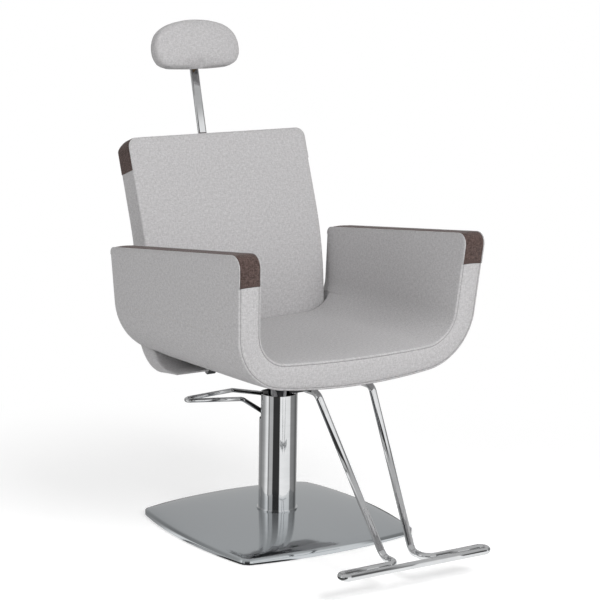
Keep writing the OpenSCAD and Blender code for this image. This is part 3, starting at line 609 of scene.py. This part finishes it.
class Shell:
    """The wall of the seat shell: a U swept from front to rear, seen as layers from outside to inside"""

    def __init__(self, s):
        flare, self.tilt = degrees(s.flare), degrees(s.tilt)
        mm = 1 / MM
        top = s.arm_z * mm
        self.outer = Cup(s.arm_out * mm, top, s.low_z * mm, flare, **OUTSIDE)
        self.inner = Cup(s.arm_in * mm, top, s.sit_z * mm, flare, **INSIDE)
        self.thick = self.outer.w - self.inner.w
        self.r, self.crown, self.deep = s.edge * mm, s.crown * mm, s.pad_deep * mm
        self.front = (self.into(FRONT_FOOT), 90 + FRONT_LEAN + self.tilt)
        self.top = (self.into([ARM_FRONT_Y, top]), -ARM_RISE + self.tilt)
        self.rear = (self.into(REAR_FOOT), 90 - REAR_LEAN + self.tilt)
        self.hug = self.into(HUG)
        self.spread = s.spread * mm / (self.outer.w * (self.rear[0][0] - PIVOT[0]))
        self.bottoms = self.low_columns()

    def into(self, p):
        """Point of the side view in the shell's tilted frame"""
        return PIVOT + turned_by(np.asarray(p, float) - PIVOT, radians(self.tilt))

    def out(self, x, t, z):
        """Back from the tilted frame to the chair's"""
        d = np.array([t, z]) - PIVOT
        return [x * (1 + self.spread * d[0]), *(PIVOT + turned_by(d, -radians(self.tilt)))]

    def low_columns(self):
        """Pairs of outer and inner points from the middle of the bottom to the top of the corner"""
        level, corner = np.linspace(0, 1, LEVEL_STEPS), np.linspace(0, 1, CORNER_STEPS)[1:]
        cups = self.outer, self.inner
        outer, inner = ([*along_line(c.bottom, level), *along_line(c.corner, corner)] for c in cups)
        for line in (outer, inner):
            k = next(i for i in range(len(line)) if line[i][0] > NOTCH)
            f = (NOTCH - line[k - 1][0]) / (line[k][0] - line[k - 1][0])
            for side in (outer, inner):
                a, b = side[k - 1], side[k]
                side[k:k] = [a + (b - a) * (f - 0.01), a + (b - a) * (f + 0.01)]
        return np.array(outer), np.array(inner)

    def rear_t(self, x, z):
        """Where the rear of the wall is: the arms run past the backrest, the seat stops short of it"""
        if abs(x) > NOTCH:
            return meet(*self.rear, [0, z], 0)[0]
        r = HUG_R - HUG_GAP
        if z < self.hug[1]:
            return self.hug[0] + sqrt(max(r * r - (self.hug[1] - z) ** 2, 0))
        return self.hug[0] + r + (z - self.hug[1]) * tan(radians(-self.tilt))

    def layers(self, thick, pad, seams):
        """From outside to inside: place in the wall, how far the edge lies in, and the seam mark, which
        the fabric's shader turns into painted seam shade
        """
        r = self.r
        half = [(r - r * cos(a), r - r * sin(a), 0) for a in np.radians(EDGE_TURNS[:-1])]
        groove, crown = (1.0, self.crown) if seams else (0.0, 0.0)
        # the seam: a groove 1 mm deep, marked for painted shade in the fabric's shader
        edge = [(2.8, 0.18, 0), (2.85, 0.17, 0), (4.2, 0, 0), (5.4, groove, seams), (6.6, 0, 0)]
        edge.append((11, -0.5 * crown, 0))
        middle = [(f * thick, -share * crown, 0) for f, share in ((0.33, 0.93), (0.5, 1), (0.67, 0.93))]
        if pad:
            edge = edge[:1] + [(q, self.deep, 0) for q, _, _ in edge[1:]]
            middle = [(q, self.deep, 0) for q, _, _ in middle]
        half += edge
        return half + middle + [(thick - q, e, s) for q, e, s in reversed(half)]

    def arm_foot(self, f):
        """Height of the arm's lower edge at place f in the wall"""
        return self.bottoms[0][-1][1] * (1 - f) + self.bottoms[1][-1][1] * f

    @cache
    def arm_edges(self, f, inset):
        """The arm seen from the side at place f, its edge lying in: bottom, top, front and rear lines"""
        level = self.arm_foot(f)
        f0, fa = self.front
        t0, ta = self.top
        r0, ra = self.rear
        f0 = f0 + ray(fa - 90) * inset
        t0 = t0 - ray(ta + 90) * inset
        r0 = r0 + ray(ra + 90) * inset
        a, b = meet(f0, fa, [0, level], 0), meet(r0, ra, [0, level], 0)
        e, c = meet(f0, fa, t0, ta), meet(r0, ra, t0, ta)
        rf, rr = max(FRONT_ROUND - inset, 2), max(REAR_ROUND - inset, 1.5)
        front = [a] + fillet(e, a, c, rf)
        rear = [b] + fillet(c, b, e, rr)
        top = fillet(e, c, a, rf)[::-1] + fillet(c, e, b, rr)
        pairs = (([a, b], ROWS), (top, ROWS), (front, ARM_ROWS), (rear, ARM_ROWS))
        return [along_line(line, shares) for line, shares in pairs]

    def swell(self, *gaps):
        """How far the padding stands out at these distances from its edges"""
        shares = [sin(pi / 2 * min(1, max(0, g) / CROWN_RUN)) for g in gaps]
        return self.crown * CROWN_SHARE * prod(shares)

    def place(self, f, t, z):
        """A point of the arm wall: f 0 on its outside, 1 on its inside"""
        return self.out((1 - f) * self.outer.x(z) + f * self.inner.x(z), t, z)


TOP_WEAVE = 160  # start of the weave on the arm tops


def shell_piece(shell):
    skin = Skin()
    outer, inner = shell.bottoms
    columns = range(len(outer))
    gaps = np.linalg.norm(outer - inner, axis=1)
    path = lengths_along((outer + inner) / 2)

    def low_line(f, inset, c):
        x, z = outer[c] * (1 - f) + inner[c] * f
        return x, z, meet(*shell.front, [0, z], 0)[0] + inset, shell.rear_t(x, z) - inset

    # outer and inner faces of the bottom and the corners
    for f, v0, sign in FACES:
        rows = []
        for c in columns:
            x, z, t, rear = low_line(f, shell.r, c)
            deep = rear - t
            nx, nz = (outer[c] - inner[c]) / gaps[c] * sign
            row = []
            for u in ROWS:
                h = shell.swell(deep * u, deep * (1 - u))
                p = shell.out(x + nx * h, t + deep * u, z + nz * h)
                row.append((p, (path[c], v0 + sign * deep * u)))
            rows.append(row)
        skin.strips(rows)

    # their front and rear edges
    for front in (True, False):
        rows = []
        for c in columns:
            cells = shell.layers(gaps[c], False, 1 if front else 0)
            x0, x1 = outer[c][0], inner[c][0]
            if not front and (x0 - NOTCH) * (x1 - NOTCH) < 0:
                w = (x0 - NOTCH) / (x0 - x1) * gaps[c]
                w = min(max(w, NOTCH_ROOM), gaps[c] - NOTCH_ROOM)
                mid = len(cells) // 2
                cells[mid - 1:mid + 2] = [(w + k * NOTCH_STEP, 0, 0) for k in (-1, 0, 1)]
            row = []
            for q, e, s in cells:
                x, z, t, rear = low_line(q / gaps[c], e, c)
                row.append((shell.out(x, t if front else rear, z), (path[c], -q), s))
            rows.append(row)
        skin.strips(rows)

    # the arms: faces from four edge lines
    for f, v0, sign in FACES:
        cells = coons(*shell.arm_edges(f, shell.r), ROWS, ARM_ROWS)
        foot = shell.arm_foot(f)
        rows = []
        for line in cells:
            row = []
            for v, (t, z), first, last in zip(ARM_ROWS, line, cells[0], cells[-1]):
                h = shell.swell(t - first[0], last[0] - t)
                x, *yz = shell.place(f, t, z)
                w = (path[-1] + z - foot, v0 + sign * (t - PIVOT[0]))
                row.append(((x + sign * h * (1 - v ** 6), *yz), w))
            rows.append(row)
        skin.strips(rows)

    # then their front, rear and top edges
    foot = shell.arm_foot(0)
    for side in (2, 3, 1):
        rows = []
        for i in range(len(ROWS if side == 1 else ARM_ROWS)):
            padded = side == 1 or side == 2 and i >= PAD_ROW
            row = []
            for q, e, s in shell.layers(shell.thick, padded, 0 if side == 3 else 1):
                f = q / shell.thick
                t, z = shell.arm_edges(f, e)[side][i]
                w = (path[-1] + TOP_WEAVE + q, t) if side == 1 else (path[-1] + z - foot, -q)
                row.append((shell.place(f, t, z), w, s))
            rows.append(row)
        skin.strips(rows)
    return skin.mirrored().build("seat_shell_cover")


# Arm pad: gap to the faces of the arm, gap under it, and last row down the rear
PAD_GAP, PAD_SEAT, PAD_TAIL = 3.0, 0.2, 6
# Its section: place and inset, along its rim in millimetres and over its top in shares of the wall
PAD_RIM = [(0, 2.0), (0.25, 0.6), (1.0, -0.25), (2.6, -0.8)]
PAD_TOP = [(0.25, -1.5), (0.4, -1.9), (0.5, -2.0), (0.6, -1.9), (0.75, -1.5)]
WELT_IN, WELT_SINK = 1.9, 0.15  # place of the welts in the wall, and how far they lie in


def pad_path(shell, q, e):
    """Points and lengths of the line that a pad follows: up the front, round, and along the top"""
    f = q / shell.thick
    _, top, front, rear = shell.arm_edges(f, e)
    line = [*front[PAD_ROW:], *top[1:], *rear[::-1][1:PAD_TAIL]]
    return [shell.place(f, *p) for p in line], lengths_along(line)


def arm_pad_piece(shell, side, name):
    """One arm pad: a crowned strip let into the top of the arm"""
    thick, deep = shell.thick, shell.deep - PAD_SEAT
    rim = [(PAD_GAP, deep)] + [(PAD_GAP + q, e) for q, e in PAD_RIM]
    ring = rim + [(thick * f, e) for f, e in PAD_TOP] + [(thick - q, e) for q, e in reversed(rim)]
    ring += [(thick * 0.7, deep), (thick * 0.3, deep), ring[0]]
    skin = Skin()
    rows = [[(p, (q, run)) for p, run in zip(*pad_path(shell, q, e))] for q, e in ring]
    skin.strips(rows)
    # its two ends
    for end in (0, -1):
        loop = np.array([row[end][0] for row in rows])
        mid = loop[:-1].mean(0)
        inner = mid + (loop - mid) * 0.6
        skin.grid([loop, inner], [loop[:, [0, 2]]] * 2)
        skin.grid([inner, [mid] * len(inner)], [inner[:, [0, 2]]] * 2)
    if side < 0:
        skin.points = [[-x, y, z] for x, y, z in skin.points]
    return skin.build(name)


def tube(skin, points, r, side=(1.0, 0.0, 0.0)):
    """A round welt along a line of points; side is a direction that the line never takes"""
    p = [np.array(points[0], float)]
    for q in points[1:]:
        if np.linalg.norm(q - p[-1]) > 0.4 * r:
            p.append(np.array(q, float))
    d = np.gradient(p, axis=0)
    d /= np.linalg.norm(d, axis=1)[:, None]
    turns = [2 * pi * k / ROUND_TURNS for k in range(ROUND_TURNS + 1)]
    rows = []
    for middle, way, run in zip(p, d, lengths_along(p)):
        a = unit(side - way * (side @ way))
        b = np.cross(way, a)
        rows.append([(middle + r * (a * cos(t) + b * sin(t)), (r * t, run)) for t in turns])
    skin.strips(rows)
    for i in (0, -1):
        skin.strips([rows[i], [(p[i], w) for _, w in rows[i]]])


def welt_piece(shell, r):
    skin = Skin()
    for q in (WELT_IN, shell.thick - WELT_IN):
        tube(skin, pad_path(shell, q, WELT_SINK)[0], r)
    return skin.mirrored().build("arm_welts")


# Backrest

# Its side view (y, z) in millimetres and degrees
HEEL, HEEL_R = np.array([136.0, 457.0]), 97.0
TOE_Y, TOE_TOP, TOE_SLOPE = 52.0, 373.0, 6.8
BEND_Z, BEND_R = 470.0, 700.0
TOE_STEPS, HEEL_STEPS, BEND_STEPS = 5, 20, 16
EDGE_MOST = 0.45  # most rounding of an edge, as a share of the thickness
BACK_LAYERS = (0.06, 0.12, 0.25, 0.4, 0.5, 0.62, 0.74, 0.86, 0.94)  # between the rounds of its edges
CROWN_FROM, CROWN_OVER = 18, 8  # rows of the lower part over which the crown comes in
REAR_SWELL = 0.5  # crown of the rear face as a share of the front's
BACK_ROWS = [0, .15, .3, .45, .55, .62, .68, .74, .80, .85, .88, .905, .93, .955, .98, 1]
BACK_COLS = [0, .12, .24, .36, .48, .6, .7, .79, .86, .91, .935, .95, .965, .98, 1]


class Back:
    """The backrest as a bent slab: a strip seen from the front, with layers from front to rear"""

    def __init__(self, s):
        mm = 1 / MM
        self.half, self.thick, lean = s.half * mm, s.thick * mm, degrees(s.lean)
        self.h, self.r, self.corner = s.straight * mm, s.edge * mm, s.corner * mm
        self.rear_round, self.drop, self.crown = s.rear_round * mm, s.band_drop * mm, s.crown * mm
        bend = np.array([HUG[0] + HUG_R + BEND_R, BEND_Z])
        self.lean_at = bend + BEND_R * ray(180 - lean)
        self.up, self.behind = ray(90 - lean), ray(-lean)
        heel_low = HEEL + HEEL_R * ray(-90 - TOE_SLOPE)
        toe_low = np.array([TOE_Y, heel_low[1] + (heel_low[0] - TOE_Y) * tan(radians(TOE_SLOPE))])
        front, rear = [], []

        def stage(a, b):
            """Adds the next stretch of both faces, without the point that it shares with the last"""
            skip = 1 if front else 0
            front.extend(list(a)[skip:])
            rear.extend(list(b)[skip:])

        lines = [[TOE_Y, TOE_TOP], [HUG[0], TOE_TOP]], [toe_low, heel_low]
        stage(*(along_line(line, np.linspace(0, 1, TOE_STEPS)) for line in lines))
        stage(arc(HUG, HUG_R, -90, 0, HEEL_STEPS), arc(HEEL, HEEL_R, -90 - TOE_SLOPE, 0, HEEL_STEPS))
        lines = ([c + [r, 0], [c[0] + r, BEND_Z]] for c, r in ((HUG, HUG_R), (HEEL, HEEL_R)))
        stage(*(along_line(line, [0, .5, 1]) for line in lines))
        stage(*(arc(bend, r, 180, 180 - lean, BEND_STEPS) for r in (BEND_R, BEND_R - self.thick)))
        self.front, self.rear = np.array(front), np.array(rear)
        self.path = lengths_along((self.front + self.rear) / 2)

    def layers(self, thick):
        """From the front to the rear: place, inset of the side edges, inset of the top edge"""
        r = min(self.r, thick * EDGE_MOST)
        big = self.rear_round * r / self.r
        turns = [(r - r * cos(a), r - r * sin(a)) for a in np.radians(EDGE_TURNS)]
        out = [(q, e, e) for q, e in turns]
        flat = [(r + (thick - 2 * r) * f, 0) for f in BACK_LAYERS]
        for q, e in flat + [(thick - q, e) for q, e in reversed(turns)]:
            over = q - (thick - big)
            out.append((q, e, big - sqrt(max(big * big - over * over, 0)) if over > 0 else 0))
        return out

    def edges(self, side, top):
        """Half of the upper part seen from the front: bottom, top, middle and side lines"""
        w, h = self.half - side, self.h - top
        r = max(self.corner - max(side, top), 2.0)
        c, a, b = np.array([w, h]), np.array([w, 0.0]), np.array([0.0, h])
        edge = [a] + fillet(c, a, b, r)
        head = [b] + fillet(c, b, a, r)
        return (
            along_line([[0, 0], a], BACK_COLS), along_line(head, BACK_COLS),
            along_line([[0, 0], b], BACK_ROWS), along_line(edge, BACK_ROWS),
        )

    def place(self, x, up, q):
        y, z = self.lean_at + self.behind * q + self.up * up
        return [x, y, z]


def back_piece(back):
    skin = Skin()
    n = len(back.front)
    thick = np.linalg.norm(back.front - back.rear, axis=1)
    high = back.path[-1]
    # front and rear faces of the lower part, and of the upper part above it
    for f, sign, stand_out in ((0, 1, back.crown), (1, -1, back.crown * REAR_SWELL)):
        rows = []
        for c in range(n):
            w = back.half - min(back.r, thick[c] * EDGE_MOST)
            p = (back.front, back.rear)[f][c]
            out = (back.front[c] - back.rear[c]) / thick[c] * sign
            out *= stand_out * min(1, max(0, (c - CROWN_FROM) / CROWN_OVER))
            at = sign * back.path[c]
            rows.append([((u * w, *(p + out * (1 - u ** 4))), (u * back.half, at)) for u in BACK_COLS])
        skin.strips(rows)
        _, side, top = back.layers(back.thick)[-f]
        cells = coons(*back.edges(side, top), BACK_COLS, BACK_ROWS)
        rows = []
        for j, v in enumerate(BACK_ROWS):
            row = []
            for u, (x, up) in zip(BACK_COLS, cells[:, j]):
                h = stand_out * (1 - u ** 4) * (1 - v ** 4)
                row.append((back.place(x, up, f * back.thick - sign * h), (x, sign * (high + up))))
            rows.append(row)
        skin.strips(rows)

    def across(c, q):
        return back.front[c] + (back.rear[c] - back.front[c]) * q / thick[c]

    # side edge of the lower part, and the toe
    cells = [back.layers(t) for t in thick]
    skin.strips([
        [((back.half - e, *across(c, q)), (back.half + q, back.path[c])) for q, e, _ in cells[c]]
        for c in range(n)
    ])
    skin.strips([
        [((u * (back.half - e), *across(0, q)), (u * back.half, -q)) for q, e, _ in cells[0]]
        for u in BACK_COLS
    ])
    # side and top edges of the upper part
    lines = [(q, back.edges(side, top)) for q, side, top in back.layers(back.thick)]
    for which, count in ((3, len(BACK_ROWS)), (1, len(BACK_COLS))):
        rows = []
        for i in range(count):
            row = []
            for q, (x, up) in ((q, four[which][i]) for q, four in lines):
                w = (back.half + q, high + up) if which == 3 else (x, high + back.h + q)
                row.append((back.place(x, up, q), w))
            rows.append(row)
        skin.strips(rows)
    return skin.mirrored().build("backrest_cover")


# Band: its edges from the front and from the rear face, steps of its line, and how it stands out
BAND_FRONT, BAND_REAR, BAND_STEPS = 3.6, 3.5, 30
BAND_RIM = [(0, 0.3), (0.2, -0.5), (1.0, -1.0), (3, -1.2)]
BAND_TOP, BAND_UNDER = -1.4, 3.0
BAND_FLAT, BAND_REACH = 7, 0.985  # where its flat starts, and how much of the rear round it follows
BAND_WELT_IN, BAND_WELT_SINK, BAND_WELT_R = 2.3, 0.6, 1.2


def band_line(back, side, top):
    """Half of the line of the coloured band: up the side, round the corner and to the middle"""
    _, head, _, edge = back.edges(side, top)
    start = back.h - back.drop
    rise = [[back.half - side, start]] + [p for p in edge if p[1] > start]
    return [*along_line(rise, np.linspace(0, 1, BAND_STEPS)), *head[::-1][1:]]


def band_piece(back):
    """The coloured band over the top and down both sides of the backrest"""
    skin = Skin()
    lo, hi, big = BAND_FRONT, back.thick - BAND_REAR, back.rear_round
    upper = [(lo + q, e) for q, e in BAND_RIM]
    upper += [(q, BAND_TOP) for q in np.linspace(lo + BAND_FLAT, hi - BAND_FLAT, 9)]
    upper += [(hi - q, e) for q, e in reversed(BAND_RIM)]
    rows = []
    for q, e in upper + [(q, BAND_UNDER) for q, _ in reversed(upper)] + upper[:1]:
        over = q - (back.thick - big)
        top = e
        if over > 0:
            # the round at the rear lies on the same centre, so the lift goes along its radius
            r = big - e
            reach = min(over, BAND_REACH * big) * r / big
            top = big - sqrt(max(r * r - reach ** 2, 0))
            q = min(back.thick - big + reach, back.thick - BAND_TOP)
        line = band_line(back, e, top)
        rows.append([(back.place(*p, q), (q, run)) for p, run in zip(line, lengths_along(line))])
    skin.strips(rows)
    # its lower end
    loop = np.array([row[0][0] for row in rows[:-1]])
    count = len(upper)
    skin.grid([loop[:count], loop[count:][::-1]], [loop[:count, 1:]] * 2)
    return skin.mirrored().build("backrest_band")


def band_welt_piece(back):
    skin = Skin()
    points = [back.place(*p, BAND_WELT_IN) for p in band_line(back, BAND_WELT_SINK, BAND_WELT_SINK)]
    points += [[-x, y, z] for x, y, z in points[::-1][1:]]
    tube(skin, points, BAND_WELT_R, (0.0, *back.behind))
    return skin.build("band_welt")


# Copies of CAD meshes, and the headrest

HEAD_LEAN = 15.2  # degrees
HEAD_SEAM, SEAM_HALF = 0.36, 0.0022  # share of the depth, and half width in metres, of the line of painted seam shade round the headrest
HEAD_CLOTH = {
    "quality": 6, "mass": 0.25, "tension_stiffness": 18, "compression_stiffness": 18,
    "shear_stiffness": 8, "bending_stiffness": 1.2, "use_pressure": True,
}


@contextmanager
def editing(mesh):
    """A bmesh of a mesh, written back at the end"""
    bm = bmesh.new()
    bm.from_mesh(mesh)
    yield bm
    bm.to_mesh(mesh)
    bm.free()


def merged_copy(node, name):
    """A welded copy of a CAD node's mesh"""
    mesh = frame["nodes"][node].data.copy()
    mesh.name = name
    with editing(mesh) as bm:
        bmesh.ops.remove_doubles(bm, verts=bm.verts, dist=1e-6)
    return linked(name, mesh)


def grow(bm, by):
    """Moves each point along its normal"""
    bm.normal_update()
    for v in bm.verts:
        v.co += v.normal * by


def simulate(piece, s):
    """Fills the fabric with cloth pressure, and caps how far it moves"""
    rest = np.array([v.co for v in piece.data.vertices])
    cloth = piece.modifiers.new("fill", "CLOTH")
    for key, value in HEAD_CLOTH.items():
        setattr(cloth.settings, key, value)
    cloth.settings.uniform_pressure_force = s.pressure
    cloth.settings.effector_weights.gravity = 0.0
    cloth.point_cache.frame_start, cloth.point_cache.frame_end = 1, s.frames
    scene = bpy.context.scene
    for f in range(1, s.frames + 1):
        scene.frame_set(f)
    dg = bpy.context.evaluated_depsgraph_get()
    moved = np.array([v.co for v in piece.evaluated_get(dg).data.vertices])
    piece.modifiers.remove(cloth)
    scene.frame_set(1)
    step = moved - rest
    size = np.maximum(np.linalg.norm(step, axis=1), 1e-9)
    step *= (np.tanh(size / s.cap) * s.cap / size)[:, None]
    piece.data.vertices.foreach_set("co", (rest + step).ravel())
    piece.data.update()


def box_weave(piece, right, up):
    """Weave coordinates for a piece that has none, by the face it lies on, and the mark of its painted
    seam shade
    """
    mesh = piece.data
    out = np.cross(right, up)
    co = np.array([v.co for v in mesh.vertices])
    no = np.array([v.normal for v in mesh.vertices])
    a, b, c = co @ right, co @ up, co @ out
    side = np.abs(no @ right)
    u = np.where(side > 0.8, c, a)
    v = np.where(np.abs(no @ up) > 0.8, c, b)
    weave = np.stack([u, v, 0 * u], 1).astype(np.float32)
    mesh.attributes.new("weave", "FLOAT_VECTOR", "POINT").data.foreach_set("vector", weave.ravel())
    # the side seam: a line marked for painted shade, on the faces that don't look to the front or rear
    off = np.abs(c - c.min() - HEAD_SEAM * (c.max() - c.min()))
    line = np.clip(1 - off / SEAM_HALF, 0, 1) * (np.abs(no @ out) < 0.7)
    line = line.astype(np.float32)
    mesh.attributes.new("seam", "FLOAT", "POINT").data.foreach_set("value", line)


# Operators


class CHAIR_OT_shell(bpy.types.Operator):
    """Covers the seat shell in light fabric"""

    bl_idname = "chair.shell"
    bl_label = "Seat shell"

    def execute(self, context):
        piece = shell_piece(Shell(context.scene.chair_shell))
        finish_piece(piece, "seat", "light_fabric", ("shell_cover", "seat_lining"), 50)
        return {"FINISHED"}


class CHAIR_OT_pads(bpy.types.Operator):
    """Lets the dark pads into the arm tops, with their welts"""

    bl_idname = "chair.pads"
    bl_label = "Arm pads"

    def execute(self, context):
        s = context.scene.chair_shell
        shell = Shell(s)
        for side, node in ((1, "arm_pad_left"), (-1, "arm_pad_right")):
            piece = arm_pad_piece(shell, side, node + "_cover")
            finish_piece(piece, "seat", "dark_fabric", (node,), 50)
        finish_piece(welt_piece(shell, s.welt / MM), "seat", "light_fabric")
        return {"FINISHED"}


class CHAIR_OT_back(bpy.types.Operator):
    """Covers the backrest in light fabric and wraps its dark band"""

    bl_idname = "chair.back"
    bl_label = "Backrest"

    def execute(self, context):
        back = Back(context.scene.chair_back)
        finish_piece(back_piece(back), "back", "light_fabric", ("back_cover",), 50)
        finish_piece(band_piece(back), "back", "dark_fabric", ("back_band",), 50)
        finish_piece(band_welt_piece(back), "back", "light_fabric")
        return {"FINISHED"}


class CHAIR_OT_headrest(bpy.types.Operator):
    """Pads the headrest: simulated fabric round the cushion"""

    bl_idname = "chair.headrest"
    bl_label = "Headrest"

    def execute(self, context):
        s = context.scene.chair_head
        piece = merged_copy("headrest_cushion", "headrest_pad")
        with editing(piece.data) as bm:
            bmesh.ops.recalc_face_normals(bm, faces=bm.faces)
            grow(bm, -s.slack)
        pick(piece)
        piece.data.remesh_voxel_size = s.voxel
        bpy.ops.object.voxel_remesh()
        bpy.ops.object.shade_smooth()
        with editing(piece.data) as bm:
            axes = {"use_axis_" + k: True for k in "xyz"}
            for _ in range(s.rounds):
                bmesh.ops.smooth_vert(bm, verts=bm.verts, factor=0.5, **axes)
            grow(bm, 0.0)
        simulate(piece, s)
        mod = piece.modifiers.new("fine", "SUBSURF")
        mod.levels = mod.render_levels = 1
        bpy.ops.object.modifier_apply(modifier=mod.name)
        lean = radians(HEAD_LEAN)
        box_weave(piece, np.array([1.0, 0, 0]), np.array([0, sin(lean), cos(lean)]))
        finish_piece(piece, "headrest", "light_fabric", ("headrest_cushion",))
        return {"FINISHED"}


SMOOTHED = {
    "base_cover": ("base", "base_dome", 40),
    "foot_collar": ("base", "column_collar", 40),
    "column_cover": ("base", "column_sleeve", 40),
    "pump_lever": ("lever", "lever_loop", 50),
    "lever_yoke": ("lever", "lever_block", 40),
    "piston": ("lift", "lift_piston", 40),
    "footrest": ("seat", "footrest_loop", 50),
    "seat_hub": ("seat", "swivel_hub", 40),
    "headrest_bar": ("headrest", "headrest_stem", 40),
}


def node_slots():
    """The material slot of each CAD node"""
    return {p["node"]: p["material_slot"] for p in frame["record"]["subparts"]}


class CHAIR_OT_metal(bpy.types.Operator):
    """Smooths the round metal parts that show"""

    bl_idname = "chair.metal"
    bl_label = "Metalwork"

    def execute(self, context):
        slots = node_slots()
        for node, (body, name, crisp) in SMOOTHED.items():
            finish_piece(merged_copy(node, name), body, slots[node], (node,), crisp)
        return {"FINISHED"}


class CHAIR_OT_finishes(bpy.types.Operator):
    """Gives every CAD piece its finish"""

    bl_idname = "chair.finishes"
    bl_label = "Finishes"

    def execute(self, context):
        for node, slot in node_slots().items():
            coat(frame["nodes"][node], slot)
        return {"FINISHED"}


# Place, aim, size in metres and power in watts
LAMPS = {
    "key": ((0.3, -2.9, 2.4), (0, 0, 0.6), 1.6, 76),
    "fill": ((-2.6, -0.8, 1.7), (0, 0, 0.5), 1.8, 22),
    "rear": ((0.5, 2.6, 2.2), (0, 0, 0.6), 1.6, 14),
}
FLOOR_GLOW, FLOOR_FADE = 0.36, (0.55, 1.3)  # strength, and distances over which the floor turns white
# Strength of the world, grey above the ring, and heights of view between the two
ROOM_LIGHT, ROOM_GREY, ROOM_FADE = 0.46, 0.5, (0.2, 0.7)


class CHAIR_OT_stage(bpy.types.Operator):
    """Sets the floor, the lamps, the world and the camera"""

    bl_idname = "chair.stage"
    bl_label = "Studio"

    def execute(self, context):
        scene = context.scene
        scene.view_settings.view_transform = "Standard"
        bpy.ops.object.select_all(action="DESELECT")
        bpy.ops.mesh.primitive_plane_add(size=40, location=(0, 0, -0.0002))
        floor = context.object
        floor.name = "studio_floor"
        m, place = on_object("studio floor")
        x, y, _ = m.parts(place)
        seen, shine = m.either_ray("Is Camera Ray"), m.either_ray("Is Glossy Ray")
        pale = m.node("BsdfDiffuse", {"Color": (0.8, 0.8, 0.8, 1)})
        glow, white = m.light(1, FLOOR_GLOW), m.light(1)
        lit = m.node("AddShader", {0: pale, 1: glow})
        far = m.band((x * x + y * y) ** 0.5, *FLOOR_FADE) * seen
        open_floor = m.choose(far, m.choose(seen, pale, lit), white)
        # for glossy rays the floor glows with the studio ring, a painted reflection of the studio that
        # bright metal shows in place of the floor
        m.output(m.choose(shine, open_floor, m.light(m.studio_ring(x, y))))
        floor.data.materials.append(m.owner)

        w = Looks("studio world", world=True)
        scene.world = w.owner
        x, y, z = w.parts(w.node("TexCoord", {}, "Generated"))
        ring = w.mix(w.band(z, *ROOM_FADE), w.studio_ring(x, y), [ROOM_GREY] * 3)
        soft, room, white = w.light(1, ROOM_LIGHT), w.light(ring), w.light(1)
        lit = w.choose(w.either_ray("Is Glossy Ray"), soft, room)
        w.output(w.choose(w.either_ray("Is Camera Ray", "Is Transmission Ray"), lit, white))

        for name, (place, aim, size, power) in LAMPS.items():
            data = bpy.data.lights.new(name, "AREA")
            data.shape, data.size, data.energy = "DISK", size, power
            lamp = linked(name, data)
            lamp.location = place
            lamp.rotation_euler = (Vector(aim) - Vector(place)).to_track_quat("-Z", "Y").to_euler()
            lamp.visible_glossy = False

        data = bpy.data.cameras.new("camera")
        data.lens, data.sensor_width = CAMERA["lens"], 36.0
        data.clip_start, data.clip_end = 0.1, 60
        camera = linked("camera", data)
        r, u, d = (Vector(CAMERA[k]).normalized() for k in ("right", "up", "into"))
        place = Matrix((r, u, -d)).transposed().to_4x4()
        place.translation = Vector(CAMERA["at"])
        camera.matrix_world = place
        scene.camera = camera
        return {"FINISHED"}


class CHAIR_PT_panel(bpy.types.Panel):
    """Lists the steps and the sizes"""

    bl_idname = "CHAIR_PT_panel"
    bl_label = "Threading chair"
    bl_space_type = "VIEW_3D"
    bl_region_type = "UI"
    bl_category = "Chair"

    def draw(self, context):
        for step in STEPS:
            self.layout.operator(step.bl_idname)
        for name in GROUPS:
            group = getattr(context.scene, name)
            for key in group.__annotations__:
                self.layout.prop(group, key)


STEPS = [
    CHAIR_OT_finishes, CHAIR_OT_shell, CHAIR_OT_pads, CHAIR_OT_back,
    CHAIR_OT_headrest, CHAIR_OT_metal, CHAIR_OT_stage,
]
GROUPS = {
    "chair_shell": ShellSizes, "chair_back": BackSizes,
    "chair_head": HeadSizes, "chair_colours": ChairColours,
}


def register():
    for cls in [*GROUPS.values(), *STEPS, CHAIR_PT_panel]:
        bpy.utils.register_class(cls)
    for name, cls in GROUPS.items():
        setattr(bpy.types.Scene, name, bpy.props.PointerProperty(type=cls))


def unregister():
    for name in GROUPS:
        delattr(bpy.types.Scene, name)
    for cls in [CHAIR_PT_panel, *reversed(STEPS), *GROUPS.values()]:
        bpy.utils.unregister_class(cls)


def main():
    register()
    for step in STEPS:
        getattr(bpy.ops.chair, step.bl_idname.split(".")[1])()


if __name__ == "__main__":
    main()
